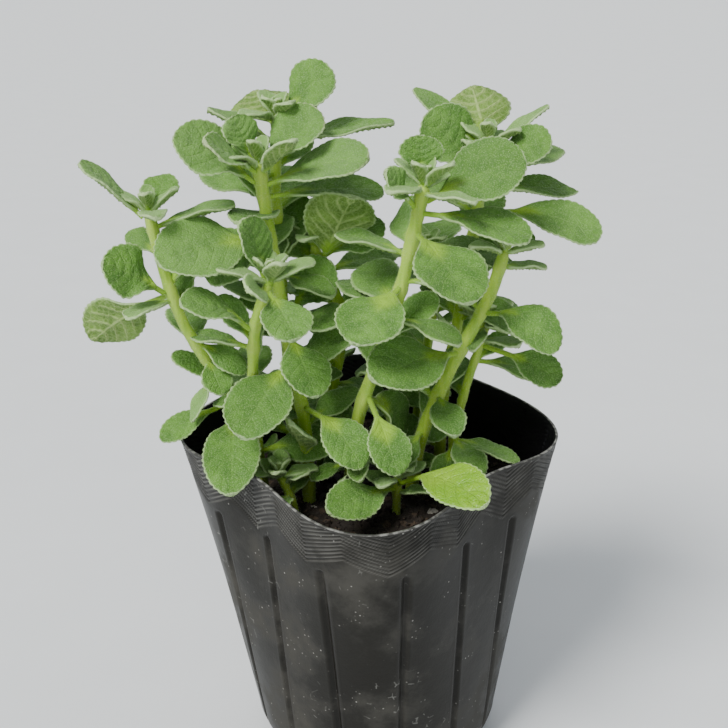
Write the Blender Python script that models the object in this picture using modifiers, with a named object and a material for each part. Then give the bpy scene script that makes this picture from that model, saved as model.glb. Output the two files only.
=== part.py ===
"""Cuban oregano in a thin black nursery pot: pot, soil, twelve stems and their leaves."""

import math

import bmesh
import bpy
from mathutils import Vector

MM = 0.001

# Pot, in metres
POT_HEIGHT = 0.105
RIM_RADIUS = 0.0515
BASE_RADIUS = 0.0375
WALL = 0.0007
BOTTOM_ROUND = 0.011
RIM_CORNER = 0.006
RIM_SHIFT = 0.003
RIM_TILT = 0.0035
RIM_WAVE = 0.0015
CORNER_POWER = 1.3
TILT_POWER = 4
UPPER_RINGS = (1.0, 0.96)
LOWER_RINGS = (0.6, 0.36, 0.18)
GROOVE_COUNT = 14
GROOVE_DEPTH = 0.0012
GROOVE_HALF_WIDTH = 0.0015
GROOVE_DROP = 0.018
GROOVE_START_ANGLE = -80.0
GROOVE_END = 0.002
GROOVE_FOOT_SHARE = 0.5
DRAIN_RADIUS = 0.0028
DRAIN_RING_RADIUS = 0.017
DRAIN_COUNT = 6
DRAIN_SIDES = 16
DRAIN_CUT = 0.01

# Soil
SOIL_DROP_SHARE = 1 / 6
SOIL_DOME = 0.002
CLEARANCE = 0.0003
SOCKET_DEPTH = 0.012
SOCKET_CLEARANCE = 0.0008
SOIL_SIDE_GAP = 0.0005
SOIL_STEPS = 48
SOIL_SIDE_RINGS = (1.0, 0.6, 0.3)
SOIL_TOP_RINGS = (0.4, 0.75)
SOCKET_SIDES = 12

# Plant
PLANT_HEIGHT = 0.126
LEAF_THICKNESS = 0.0013
PETIOLE_RADIUS = 0.0009
STEM_SCALE = 1.0
STEEPEST = 0.5
CURVE_STEPS = 6
DRAWN_HEIGHT = 126.0
DRAWN_SPREAD = 46.0

# A smaller plant sits in a fuller pot, so its low leaves still pass over the rim.
SOIL_LEVEL = POT_HEIGHT - PLANT_HEIGHT * SOIL_DROP_SHARE

# Points closer than this are one point
MERGE = 0.00005

# Each stem: thickness at the soil and at the tip, then the points it passes through,
# as x, y and height above the soil in millimetres.
STEMS = {
    "a": (2.1, 1.7, [(-21, -10, 0), (-21, -12, 12), (-22, -12, 30), (-26, -8, 50), (-30, -5, 75),
        (-33, -4, 99)]),
    "b": (2.2, 1.4, [(-25, 4, 0), (-26, 4, 18), (-27, 5, 35), (-29, 8, 65), (-30, 10, 90), (-29, 10, 110)]),
    "c": (2.0, 1.5, [(-38, 9, 0), (-42, 2, 22), (-48, -7, 42), (-55, -10, 56), (-60, -9, 72), (-63, -8, 87)]),
    "d": (1.8, 1.4, [(-35, -4, 0), (-36, -9, 20), (-36, -14, 42), (-34, -18, 61), (-30, -20, 71)]),
    "e": (2.1, 1.7, [(-9, -8, 0), (-8, -13, 16), (-6, -14, 31), (-1, -13, 46), (6, -14, 70), (11, -14, 95)]),
    "f": (2.0, 1.5, [(20, 16, 0), (20, 14, 22), (23, 11, 45), (26, 7, 70), (30, 5, 103)]),
    "g": (2.1, 1.7, [(10, -4, 0), (12, -6, 18), (17, -7, 34), (24, -8, 50), (31, -8, 65), (34, -8, 76)]),
    "h": (1.5, 1.1, [(22, 3, 0), (23, 1, 18), (26, 0, 34), (29, 1, 44), (31, 2, 52)]),
    "j": (1.8, 1.3, [(12, 24, 0), (14, 20, 30), (17, 20, 52), (15, 22, 68)]),
    "k": (1.9, 1.5, [(-18, 5, 0), (-16, 7, 20), (-13, 9, 36), (-11, 11, 50), (-14, 12, 62), (-20, 12, 74)]),
    "s": (1.3, 1.1, [(-24, -19, 0), (-26, -19, 7), (-28, -20, 13)]),
    "t": (1.3, 1.1, [(5, -17, 0), (5, -18, 6), (5, -19, 12)]),
}

# Each leaf: stem, height of its joint on the stem, heading (0 is +X, 90 is +Y), rise above
# level, petiole length, blade length, blade width, roll about its own line and droop of the
# blade, in millimetres and degrees.
LEAVES = {
    "a_left": ("a", 95, 190, 31, 4, 23, 18, -40, 15),
    "a_right": ("a", 95, 352, 16, 5, 26, 19, 25, 15),
    "a_back": ("a", 98, 27, 43, 4, 20, 17, 25, 10),
    "a_tip": ("a", 98, 228, 30, 3, 19, 10, -40, 10),
    "a_young": ("a", 98, 163, 62, 3, 14, 12, -30, 10),
    "a_under": ("a", 92, 26, -3, 9, 28, 13, 25, 15),
    "a_low": ("a", 80, 214, -3, 6, 28, 21, -35, 20),
    "a_mid": ("a", 55, 296, -34, 4, 21, 14, 0, 15),
    "a_round": ("a", 46, 245, -23, 6, 26, 18, -15, 15),
    "a_drop": ("a", 34, 311, -25, 10, 20, 13, 15, 60),
    "b_top": ("b", 109, 8, 46, 4, 18, 16, 45, 10),
    "b_back": ("b", 108, 117, 29, 3, 15, 20, 165, 10),
    "b_right": ("b", 104, 0, 10, 8, 26, 12, 10, 10),
    "b_mid": ("b", 52, 6, 52, 4, 19, 15, 60, 10),
    "c_left": ("c", 85, 186, 44, 4, 21, 11, -5, 10),
    "c_back": ("c", 86, 77, 40, 4, 12, 10, 5, 10),
    "c_side": ("c", 65, 205, 32, 5, 17, 16, -50, 15),
    "c_under": ("c", 66, 152, -32, 11, 25, 17, 55, 20),
    "c_hang": ("c", 28, 275, -16, 8, 31, 16, 5, 30),
    "c_far": ("c", 30, 207, -21, 12, 12, 8, -35, 20),
    "d_up": ("d", 70, 150, 72, 4, 16, 14, 0, 5),
    "d_front": ("d", 70, 300, -30, 3, 16, 14, 5, 15),
    "d_arch": ("d", 58, 210, 26, 6, 18, 11, -30, 50),
    "k_big": ("k", 69, 300, 50, 4, 26, 20, -25, 10),
    "k_dark": ("k", 71, 136, 52, 6, 17, 10, -20, 10),
    "k_right": ("k", 70, 10, 26, 5, 17, 13, 45, 10),
    "j_back": ("j", 66, 75, 20, 5, 18, 15, -10, 15),
    "e_up": ("e", 94, 100, 76, 3, 13, 12, 5, 5),
    "e_left": ("e", 90, 213, 47, 3, 13, 9, -60, 10),
    "e_big": ("e", 92, 0, 24, 6, 24, 21, 40, 10),
    "e_right": ("e", 90, 341, -10, 8, 23, 14, 20, 20),
    "e_front": ("e", 85, 302, -29, 4, 25, 20, 5, 15),
    "e_dark": ("e", 81, 33, -17, 9, 29, 13, 25, 15),
    "e_mid": ("e", 70, 234, -27, 3, 22, 19, -10, 15),
    "e_spoon": ("e", 38, 295, -42, 9, 18, 12, 5, 20),
    "e_low": ("e", 37, 50, -42, 5, 21, 14, 75, 15),
    "f_left": ("f", 94, 177, 50, 4, 21, 18, -60, 10),
    "f_back": ("f", 103, 103, 45, 4, 18, 19, 165, 10),
    "f_right": ("f", 103, 342, 8, 3, 15, 13, 50, 10),
    "f_rear": ("f", 92, 22, -6, 8, 24, 11, 20, 15),
    "f_long": ("f", 86, 344, -10, 13, 23, 14, 35, 40),
    "g_left": ("g", 48, 221, 0, 5, 29, 18, -35, 15),
    "g_right": ("g", 61, 317, -18, 8, 19, 13, 25, 80),
    "h_low": ("h", 47, 342, -21, 12, 14, 11, 45, 20),
    "t_left": ("t", 10, 222, 2, 4, 22, 13, -30, 15),
    "t_lime": ("t", 12.6, 307, 12, 14, 25, 14, 25, 55),
}

# Blade outline: share of the blade's length, and share of its width
OUTLINE = [(0.1, 0.46), (0.34, 0.92), (0.6, 1.0), (0.83, 0.74), (0.98, 0.26)]
LEAF_SIDES = 8
CUP = 0.16


def clear_scene():
    for item in list(bpy.data.objects):
        bpy.data.objects.remove(item, do_unlink=True)


def make_material(name, colour, roughness):
    material = bpy.data.materials.new(name)
    material.use_nodes = True
    shader = material.node_tree.nodes["Principled BSDF"]
    shader.inputs["Base Color"].default_value = (*colour, 1)
    shader.inputs["Roughness"].default_value = roughness
    shader.inputs["Metallic"].default_value = 0.0
    material.diffuse_color = (*colour, 1)
    return material


def add_object(name, mesh, material, collection):
    mesh.materials.clear()
    mesh.materials.append(material)
    item = bpy.data.objects.new(name, mesh)
    collection.objects.link(item)
    return item


def wall_radius(height):
    return BASE_RADIUS + (RIM_RADIUS - BASE_RADIUS) * height / POT_HEIGHT


def rim_shape(point):
    """The soft rim is pressed into a rounded diamond, so points move more the higher they are."""
    share = max(point.z, 0.0) / POT_HEIGHT
    radius = math.hypot(point.x, point.y)
    if radius < MERGE:
        return Vector((-RIM_SHIFT * share, 0, point.z))
    angle = math.atan2(point.y, point.x)
    reach = radius / wall_radius(point.z)
    stretched = radius + RIM_CORNER * reach * share**CORNER_POWER * math.cos(4 * angle)
    tilt = RIM_TILT * math.sin(angle) - RIM_WAVE * math.cos(4 * angle)
    return Vector((
        stretched * math.cos(angle) - RIM_SHIFT * share,
        stretched * math.sin(angle),
        point.z + tilt * share**TILT_POWER * reach,
    ))


def turned(name, profile, steps):
    """A profile of (radius, height) pairs, top to bottom, turned about the vertical axis."""
    mesh = bpy.data.meshes.new(name)
    mesh.from_pydata([(r, 0, z) for r, z in profile], [(i, i + 1) for i in range(len(profile) - 1)], [])
    item = bpy.data.objects.new(name, mesh)
    bpy.context.scene.collection.objects.link(item)
    screw = item.modifiers.new("Turn", "SCREW")
    screw.axis = "Z"
    screw.steps = steps
    screw.render_steps = steps
    screw.use_merge_vertices = True
    screw.merge_threshold = MERGE
    screw.use_smooth_shade = True
    graph = bpy.context.evaluated_depsgraph_get()
    result = bpy.data.meshes.new_from_object(item.evaluated_get(graph))
    bpy.data.objects.remove(item)
    bpy.data.meshes.remove(mesh)
    return result


def round_corner(centre_radius, centre_height, radius, steps):
    """Quarter turn from the wall down to the flat foot."""
    points = []
    for i in range(steps + 1):
        turn = math.pi / 2 * i / steps
        points.append((centre_radius + radius * math.cos(turn), centre_height - radius * math.sin(turn)))
    return points


def groove_angles(index):
    """Four turned lines for each groove: its middle, its two edges and the wall between."""
    period = 2 * math.pi / GROOVE_COUNT
    edge = GROOVE_HALF_WIDTH / RIM_RADIUS
    offset = (0.0, edge, period / 2, period - edge)[index % 4]
    return (index // 4) * period + offset + math.radians(GROOVE_START_ANGLE)


def make_pot(material, collection, cutters):
    corner_radius_at = wall_radius(BOTTOM_ROUND) - BOTTOM_ROUND
    groove_top = POT_HEIGHT - GROOVE_DROP
    heights = [share * POT_HEIGHT for share in UPPER_RINGS] + [groove_top + GROOVE_END, groove_top]
    heights += [share * POT_HEIGHT for share in LOWER_RINGS]
    profile = [(wall_radius(z), z) for z in heights]
    profile += round_corner(corner_radius_at, BOTTOM_ROUND, BOTTOM_ROUND, 4)
    profile.append((0, 0))
    steps = 4 * GROOVE_COUNT
    mesh = turned("pot", profile, steps)
    for vertex in mesh.vertices:
        radius = math.hypot(vertex.co.x, vertex.co.y)
        if radius < MERGE:
            continue
        index = round(math.atan2(vertex.co.y, vertex.co.x) / (2 * math.pi / steps)) % steps
        angle = groove_angles(index)
        low = BOTTOM_ROUND * GROOVE_FOOT_SHARE
        if index % 4 == 0 and low < vertex.co.z < groove_top + GROOVE_END / 2:
            radius -= GROOVE_DEPTH
        vertex.co = (radius * math.cos(angle), radius * math.sin(angle), vertex.co.z)
    for vertex in mesh.vertices:
        vertex.co = rim_shape(vertex.co)
    pot = add_object("pot", mesh, material, collection)
    shell = pot.modifiers.new("Wall", "SOLIDIFY")
    shell.thickness = WALL
    shell.offset = -1
    shell.use_even_offset = True
    for i in range(DRAIN_COUNT):
        turn = 2 * math.pi * (i + 0.5) / DRAIN_COUNT
        place = Vector((math.cos(turn), math.sin(turn), 0)) * DRAIN_RING_RADIUS
        bpy.ops.mesh.primitive_cylinder_add(
            vertices=DRAIN_SIDES,
            radius=DRAIN_RADIUS,
            depth=DRAIN_CUT,
            location=place,
        )
        cutter = bpy.context.object
        cutter.name = f"drain_cutter_{i}"
        move_to(cutter, cutters)
        cut = pot.modifiers.new(f"Drain {i}", "BOOLEAN")
        cut.operation = "DIFFERENCE"
        cut.solver = "EXACT"
        cut.object = cutter
    return pot


def move_to(item, collection):
    for old in list(item.users_collection):
        old.objects.unlink(item)
    collection.objects.link(item)
    item.hide_render = True
    item.display_type = "WIRE"


def soil_spread():
    """Half width of the soil's top, which the stems share out between them."""
    return wall_radius(SOIL_LEVEL) - WALL - GROOVE_DEPTH - CLEARANCE - SOIL_SIDE_GAP


def make_soil(material, collection, cutters):
    gap = WALL + CLEARANCE
    side_gap = gap + GROOVE_DEPTH + SOIL_SIDE_GAP
    rounding = BOTTOM_ROUND - gap
    corner_radius_at = wall_radius(BOTTOM_ROUND) - BOTTOM_ROUND - GROOVE_DEPTH - SOIL_SIDE_GAP
    profile = [(0, SOIL_LEVEL + SOIL_DOME)]
    for share in SOIL_TOP_RINGS:
        profile.append((soil_spread() * share, SOIL_LEVEL + SOIL_DOME * (1 - share**2)))
    for share in SOIL_SIDE_RINGS:
        z = share * SOIL_LEVEL
        profile.append((wall_radius(z) - side_gap, z))
    profile += round_corner(corner_radius_at, BOTTOM_ROUND, rounding, 3)
    profile.append((0, gap))
    mesh = turned("soil", profile, SOIL_STEPS)
    for vertex in mesh.vertices:
        vertex.co = rim_shape(vertex.co)
    soil = add_object("soil", mesh, material, collection)
    for name, (thick, _, points) in STEMS.items():
        base = to_world(Vector(points[0]))
        bpy.ops.mesh.primitive_cylinder_add(
            vertices=SOCKET_SIDES,
            radius=thick * MM * STEM_SCALE + SOCKET_CLEARANCE,
            depth=2 * SOCKET_DEPTH,
            location=(base.x, base.y, SOIL_LEVEL),
        )
        cutter = bpy.context.object
        cutter.name = f"socket_cutter_{name}"
        move_to(cutter, cutters)
        cut = soil.modifiers.new(f"Socket {name}", "BOOLEAN")
        cut.operation = "DIFFERENCE"
        cut.solver = "EXACT"
        cut.object = cutter
    return soil


def stretched(way):
    """A drawn length and direction, in millimetres, as it is on the plant, in metres."""
    across = soil_spread() / DRAWN_SPREAD
    up = PLANT_HEIGHT / DRAWN_HEIGHT
    return Vector((way.x * across, way.y * across, way.z * up))


def to_world(point):
    return stretched(point) + Vector((0, 0, SOIL_LEVEL))


def stem_line(points, parts):
    """A smooth line through the drawn points, in millimetres above the soil."""
    drawn = [Vector(p) for p in points]
    line = [2 * drawn[0] - drawn[1]] + drawn + [2 * drawn[-1] - drawn[-2]]
    result = []
    for i in range(1, len(line) - 2):
        before, start, end, after = line[i - 1 : i + 3]
        for k in range(parts):
            t = k / parts
            result.append(0.5 * (
                2 * start
                + (end - before) * t
                + (2 * before - 5 * start + 4 * end - after) * t**2
                + (3 * start - before - 3 * end + after) * t**3
            ))
    result.append(drawn[-1])
    return result


def make_stem(name, material, collection):
    thick, thin, points = STEMS[name]
    line = [to_world(p) for p in stem_line(points, 2)]
    base = line[0]
    buried = SOCKET_DEPTH - CLEARANCE
    line = [base - Vector((0, 0, buried)), base - Vector((0, 0, buried / 3))] + line
    curve = bpy.data.curves.new(name, "CURVE")
    curve.dimensions = "3D"
    curve.bevel_depth = MM * STEM_SCALE
    curve.bevel_resolution = 2
    curve.use_fill_caps = True
    spline = curve.splines.new("POLY")
    spline.points.add(len(line) - 1)
    for i, point in enumerate(line):
        share = i / (len(line) - 1)
        spline.points[i].co = (*point, 1)
        spline.points[i].radius = thick + (thin - thick) * share
    item = bpy.data.objects.new(name, curve)
    collection.objects.link(item)
    graph = bpy.context.evaluated_depsgraph_get()
    mesh = bpy.data.meshes.new_from_object(item.evaluated_get(graph))
    bpy.data.objects.remove(item)
    welded = bmesh.new()
    welded.from_mesh(mesh)
    bmesh.ops.remove_doubles(welded, verts=welded.verts, dist=MERGE / 5)
    bmesh.ops.recalc_face_normals(welded, faces=welded.faces)
    welded.to_mesh(mesh)
    welded.free()
    mesh.shade_smooth()
    return add_object(f"stem_{name}", mesh, material, collection)


def joint_on_stem(stem, height):
    """Where a leaf joins its stem, how thick the stem is there, and which way the stem runs."""
    thick, thin, points = STEMS[stem]
    line = stem_line(points, 8)
    for i in range(len(line) - 1):
        if line[i + 1].z >= height:
            break
    share = min(1.0, (height - line[i].z) / (line[i + 1].z - line[i].z))
    radius = (thick + (thin - thick) * (i + 1) / len(line)) * STEM_SCALE
    return line[i].lerp(line[i + 1], share), radius, (line[i + 1] - line[i]).normalized()


def turned_over(roll):
    """A leaf rolled past upright shows its underside, so it is cupped the other way."""
    return abs(roll) > 90


def leaf_rings(stem, height, heading, rise, petiole, blade, width, roll, droop):
    """Centre, half-width vector and face direction at each station from petiole to tip."""
    joint, stem_radius, stem_way = joint_on_stem(stem, height)
    turn = math.radians(heading)
    level = Vector((math.cos(turn), math.sin(turn), 0))
    side = Vector((-math.sin(turn), math.cos(turn), 0))
    outward = level * math.cos(math.radians(rise)) + Vector((0, 0, math.sin(math.radians(rise))))
    grown = stretched(outward)
    crossing = grown.normalized().cross(stretched(stem_way).normalized()).length
    clear = (stem_radius * MM + PETIOLE_RADIUS + CLEARANCE) / max(STEEPEST, crossing) / grown.length
    stations = [(0.0, None), (petiole / (petiole + blade), None)]
    stations += [((petiole + blade * share) / (petiole + blade), wide) for share, wide in OUTLINE]
    if turned_over(roll):
        roll -= 180
    rings = []
    place = joint + clear * outward
    length = petiole + blade - clear
    previous = 0.0
    for share, wide in stations:
        for k in range(CURVE_STEPS):
            at = previous + (share - previous) * (k + 0.5) / CURVE_STEPS
            tilt = math.radians(rise + droop * (0.5 - at))
            ahead = level * math.cos(tilt) + Vector((0, 0, math.sin(tilt)))
            place = place + ahead * length * (share - previous) / CURVE_STEPS
        previous = share
        tilt = math.radians(rise + droop * (0.5 - share))
        ahead = level * math.cos(tilt) + Vector((0, 0, math.sin(tilt)))
        up = Vector((0, 0, math.cos(tilt))) - level * math.sin(tilt)
        spin = math.radians(roll) * min(1.0, share * 2)
        across = side * math.cos(spin) + up * math.sin(spin)
        if wide is None:
            rings.append((place.copy(), across, 0.0))
        else:
            rings.append((place.copy(), across, width / 2 * wide))
    return rings


def make_leaf(name, values, material, collection):
    form = bmesh.new()
    previous = None
    roll = values[7]
    rings = leaf_rings(*values)
    first = None
    for i, (centre, across, half) in enumerate(rings):
        middle = to_world(centre)
        ahead = to_world(rings[min(i + 1, len(rings) - 1)][0]) - to_world(rings[max(i - 1, 0)][0])
        half_vector = stretched(across)
        face = ahead.cross(half_vector).normalized()
        if half == 0.0:
            half_vector = half_vector.normalized() * PETIOLE_RADIUS
            thick = PETIOLE_RADIUS
            lift = 0.0
        else:
            half_vector = half_vector * half
            thick = LEAF_THICKNESS / 2
            lift = -CUP * half_vector.length if turned_over(roll) else CUP * half_vector.length
        ring = []
        for k in range(LEAF_SIDES):
            angle = 2 * math.pi * k / LEAF_SIDES
            out = math.cos(angle)
            raised = thick * math.sin(angle) + lift * out * out
            ring.append(form.verts.new(middle + half_vector * out + face * raised))
        if previous:
            for k in range(LEAF_SIDES):
                j = (k + 1) % LEAF_SIDES
                form.faces.new((previous[k], previous[j], ring[j], ring[k]))
        else:
            first = ring
        previous = ring
    form.faces.new(list(reversed(first)))
    form.faces.new(previous)
    bmesh.ops.recalc_face_normals(form, faces=form.faces)
    mesh = bpy.data.meshes.new(name)
    form.to_mesh(mesh)
    form.free()
    mesh.shade_smooth()
    return add_object(f"leaf_{name}", mesh, material, collection)


def main():
    clear_scene()
    plant = bpy.data.collections.new("potted_cuban_oregano")
    cutters = bpy.data.collections.new("cutters")
    bpy.context.scene.collection.children.link(plant)
    bpy.context.scene.collection.children.link(cutters)
    black_plastic = make_material("pot", (0.03, 0.03, 0.032), 0.45)
    dark_soil = make_material("soil", (0.03, 0.022, 0.016), 0.95)
    stem_green = make_material("stem", (0.28, 0.42, 0.09), 0.6)
    leaf_green = make_material("leaf", (0.19, 0.33, 0.1), 0.75)
    make_pot(black_plastic, plant, cutters)
    make_soil(dark_soil, plant, cutters)
    for name in STEMS:
        make_stem(name, stem_green, plant)
    for name, values in LEAVES.items():
        make_leaf(name, values, leaf_green, plant)


main()
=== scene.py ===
import math

import bmesh
import bpy
import numpy as np
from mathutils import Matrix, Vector
from mathutils.noise import noise


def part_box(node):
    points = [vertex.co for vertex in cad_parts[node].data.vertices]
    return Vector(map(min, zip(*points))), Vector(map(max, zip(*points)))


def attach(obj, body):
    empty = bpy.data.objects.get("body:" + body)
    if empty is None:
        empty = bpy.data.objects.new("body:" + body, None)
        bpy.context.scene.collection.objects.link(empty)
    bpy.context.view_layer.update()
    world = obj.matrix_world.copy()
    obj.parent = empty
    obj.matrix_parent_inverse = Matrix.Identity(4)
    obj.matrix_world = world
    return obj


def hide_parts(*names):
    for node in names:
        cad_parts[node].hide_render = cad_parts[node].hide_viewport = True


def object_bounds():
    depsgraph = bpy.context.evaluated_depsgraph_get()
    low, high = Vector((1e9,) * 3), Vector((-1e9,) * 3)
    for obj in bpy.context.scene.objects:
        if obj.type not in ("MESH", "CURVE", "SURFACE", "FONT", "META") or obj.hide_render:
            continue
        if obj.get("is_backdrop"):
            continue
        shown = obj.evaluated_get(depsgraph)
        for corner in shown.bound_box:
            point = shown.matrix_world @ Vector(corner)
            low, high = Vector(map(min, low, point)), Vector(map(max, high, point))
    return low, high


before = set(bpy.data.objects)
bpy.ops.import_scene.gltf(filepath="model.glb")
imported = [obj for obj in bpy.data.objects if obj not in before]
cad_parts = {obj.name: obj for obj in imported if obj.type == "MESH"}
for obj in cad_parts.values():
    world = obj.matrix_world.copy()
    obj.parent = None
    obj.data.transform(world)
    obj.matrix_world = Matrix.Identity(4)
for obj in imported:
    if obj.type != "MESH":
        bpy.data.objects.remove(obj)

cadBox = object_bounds()
mm = 0.001
chance = np.random.default_rng(41)  # every random draw comes from here, in order
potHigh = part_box("pot")[1]
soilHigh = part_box("soil")[1]
print("frame loaded, box in mm:", [round(1000 * c, 1) for c in (*cadBox[0], *cadBox[1])])


def letGo():
    bpy.ops.object.select_all(action="DESELECT")


def pick(*items):
    letGo()
    for item in items:
        item.select_set(True)
    bpy.context.view_layer.objects.active = items[0]


def inEditMode(*steps):
    # each step is an operator, or an operator with its settings
    bpy.ops.object.mode_set(mode="EDIT")
    for step in steps:
        operator, settings = step if isinstance(step, tuple) else (step, {})
        operator(**settings)
    bpy.ops.object.mode_set(mode="OBJECT")


selectAll = (bpy.ops.mesh.select_all, {"action": "SELECT"})
selectNone = (bpy.ops.mesh.select_all, {"action": "DESELECT"})
normalsOut = (bpy.ops.mesh.normals_make_consistent, {"inside": False})


def unit(rows):
    return rows / np.maximum(np.linalg.norm(rows, axis=-1, keepdims=True), 1e-12)


def eased(low, high, value):
    share = np.clip((np.asarray(value, float) - low) / (high - low), 0, 1)
    return share * share * (3 - 2 * share)


def coordinates(mesh):
    flat = np.empty(len(mesh.vertices) * 3)
    mesh.vertices.foreach_get("co", flat)
    return flat.reshape(-1, 3)


def linked(name, mesh):
    item = bpy.data.objects.new(name, mesh)
    bpy.context.scene.collection.objects.link(item)
    return item


def joined(name, items):
    pick(*items)
    bpy.ops.object.join()
    items[0].name = items[0].data.name = name
    return items[0]


def finishWith(item, material):
    item.data.materials.clear()
    item.data.materials.append(material)


def showPiece(item, material, nodes=()):
    finishWith(item, material)
    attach(item, "root")
    if nodes:
        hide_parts(*nodes)


# shaders are built by these; a tree comes first, and a value may be a socket or a number
def addNode(tree, kind, inputs=None, **settings):
    node = tree.nodes.new(kind)
    for key, value in settings.items():
        setattr(node, key, value)
    for key, value in (inputs or {}).items():
        if isinstance(value, bpy.types.NodeSocket):
            tree.links.new(value, node.inputs[key])
        else:
            node.inputs[key].default_value = value
    return node


def sums(tree, operation, *values):
    return addNode(tree, "ShaderNodeMath", dict(enumerate(values)), operation=operation).outputs[0]


def times(tree, *values):
    return sums(tree, "MULTIPLY", *values)


def plus(tree, *values):
    return sums(tree, "ADD", *values)


def minus(tree, *values):
    return sums(tree, "SUBTRACT", *values)


def blend(tree, share, first, second):
    inputs = {0: share, 6: first, 7: second}
    for key in (6, 7):
        if isinstance(inputs[key], tuple):
            inputs[key] = (*inputs[key], 1)
    return addNode(tree, "ShaderNodeMix", inputs, data_type="RGBA", blend_type="MIX").outputs[2]


def ramp(tree, value, low, high, outLow=0.0, outHigh=1.0):
    inputs = {0: value, 1: low, 2: high, 3: outLow, 4: outHigh}
    return addNode(tree, "ShaderNodeMapRange", inputs, interpolation_type="SMOOTHSTEP").outputs[0]


def noiseAt(tree, where, scale, detail=2.0, rough=0.5):
    inputs = {"Vector": where, "Scale": scale, "Detail": detail, "Roughness": rough}
    return addNode(tree, "ShaderNodeTexNoise", inputs).outputs["Fac"]


def cells(tree, where, scale, **settings):
    return addNode(tree, "ShaderNodeTexVoronoi", {"Vector": where, "Scale": scale}, **settings).outputs


def newGroup(name, inputs, outputs):
    # an input without a value is a vector, and everything else is a number
    group = bpy.data.node_groups.new(name, "ShaderNodeTree")
    for label, value in inputs.items():
        kind = "NodeSocketVector" if value is None else "NodeSocketFloat"
        socket = group.interface.new_socket(label, in_out="INPUT", socket_type=kind)
        if value is not None:
            socket.default_value = value
    for label in outputs:
        group.interface.new_socket(label, in_out="OUTPUT", socket_type="NodeSocketFloat")
    return group, group.nodes.new("NodeGroupInput").outputs, group.nodes.new("NodeGroupOutput").inputs


def useGroup(tree, group, inputs):
    return addNode(tree, "ShaderNodeGroup", inputs, node_tree=group).outputs


def newMaterial(name):
    # the material, its tree, its shader's inputs and where each point is on the object
    material = bpy.data.materials.new(name)
    material.use_nodes = True
    tree = material.node_tree
    where = addNode(tree, "ShaderNodeTexCoord").outputs["Object"]
    return material, tree, tree.nodes["Principled BSDF"].inputs, where


def colourParts(tree, attribute):
    node = addNode(tree, "ShaderNodeAttribute", attribute_name=attribute)
    return addNode(tree, "ShaderNodeSeparateColor", {0: node.outputs["Color"]}).outputs[:3]


def bumped(tree, shader, height, strength, distance):
    bump = addNode(tree, "ShaderNodeBump", {"Height": height, "Strength": strength, "Distance": distance})
    tree.links.new(bump.outputs[0], shader["Normal"])


# fine pale dots and soft lumps of short felted hair
feltGroup, into, out = newGroup("hairFelt", {"Where": None, "Grain": 2600.0}, ["Dots", "Lumps", "Height"])
dotMask = ramp(feltGroup, cells(feltGroup, into[0], into[1])["Distance"], 0.1, 0.55, 1.0, 0.0)
lumpMask = noiseAt(feltGroup, into[0], times(feltGroup, into[1], 0.32), 3.0, 0.6)
feltHeight = plus(feltGroup, times(feltGroup, dotMask, 0.5), lumpMask)
for value, socket in zip((dotMask, lumpMask, feltHeight), out):
    feltGroup.links.new(value, socket)

leafVeins = {"count": 6.0, "sweep": 0.32, "bend": 1.25}  # the leaf's own puffs follow them too
# midrib and side veins that sweep forward, from the leaf's own map
veinGroup, into, out = newGroup(
    "veinFan",
    {"Across": 0.0, "Along": 0.0, "Count": leafVeins["count"], "Sweep": leafVeins["sweep"], "Width": 0.1},
    ["Side", "Middle"],
)
reach = sums(veinGroup, "ABSOLUTE", into["Across"])
bent = times(veinGroup, sums(veinGroup, "POWER", reach, leafVeins["bend"]), into["Sweep"])
phase = times(veinGroup, minus(veinGroup, into["Along"], bent), into["Count"])
gap = sums(veinGroup, "ABSOLUTE", minus(veinGroup, sums(veinGroup, "FRACT", phase), 0.5))
sideLine = ramp(veinGroup, gap, 0.0, into["Width"], 1.0, 0.0)
sideVein = times(veinGroup, sideLine, ramp(veinGroup, reach, 0.55, 0.95, 1.0, 0.0))
midWidth = plus(veinGroup, times(veinGroup, into["Along"], -0.07), 0.1)
middleVein = ramp(veinGroup, sums(veinGroup, "DIVIDE", reach, midWidth), 0.3, 1.0, 1.0, 0.0)
veinGroup.links.new(sideVein, out[0])
veinGroup.links.new(middleVein, out[1])

# pale dust clouds, grit specks and drag marks
dustScales = {"gritZone": 95.0, "nicks": 210.0, "nickZone": 330.0, "nickArea": 40.0}
dustGroup, into, out = newGroup(
    "dustMarks", {"Where": None, "Cloud": 60.0, "Grit": 900.0}, ["Clouds", "Specks", "Scratches"]
)
clouds = ramp(dustGroup, noiseAt(dustGroup, into[0], into[1], 5.0, 0.62), 0.45, 0.72)
grit = cells(dustGroup, into[0], into[2])
gritSize = ramp(dustGroup, grit["Distance"], 0.12, 0.3, 1.0, 0.0)
gritPick = addNode(dustGroup, "ShaderNodeSeparateColor", {0: grit["Color"]}).outputs[0]
gritZone = ramp(dustGroup, noiseAt(dustGroup, into[0], dustScales["gritZone"]), 0.5, 0.66)
chosen = times(dustGroup, ramp(dustGroup, gritPick, 0.7, 1.0), 0.9)
specks = times(dustGroup, times(dustGroup, gritSize, chosen), gritZone)
nicks = cells(dustGroup, into[0], dustScales["nicks"], feature="DISTANCE_TO_EDGE")["Distance"]
nickZone = ramp(dustGroup, noiseAt(dustGroup, into[0], dustScales["nickZone"]), 0.6, 0.68)
nickArea = ramp(dustGroup, noiseAt(dustGroup, into[0], dustScales["nickArea"]), 0.48, 0.62)
nickLine = ramp(dustGroup, nicks, 0.01, 0.05, 1.0, 0.0)
scratches = times(dustGroup, times(dustGroup, nickLine, nickZone), nickArea)
for value, socket in zip((clouds, specks, scratches), out):
    dustGroup.links.new(value, socket)


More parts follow.
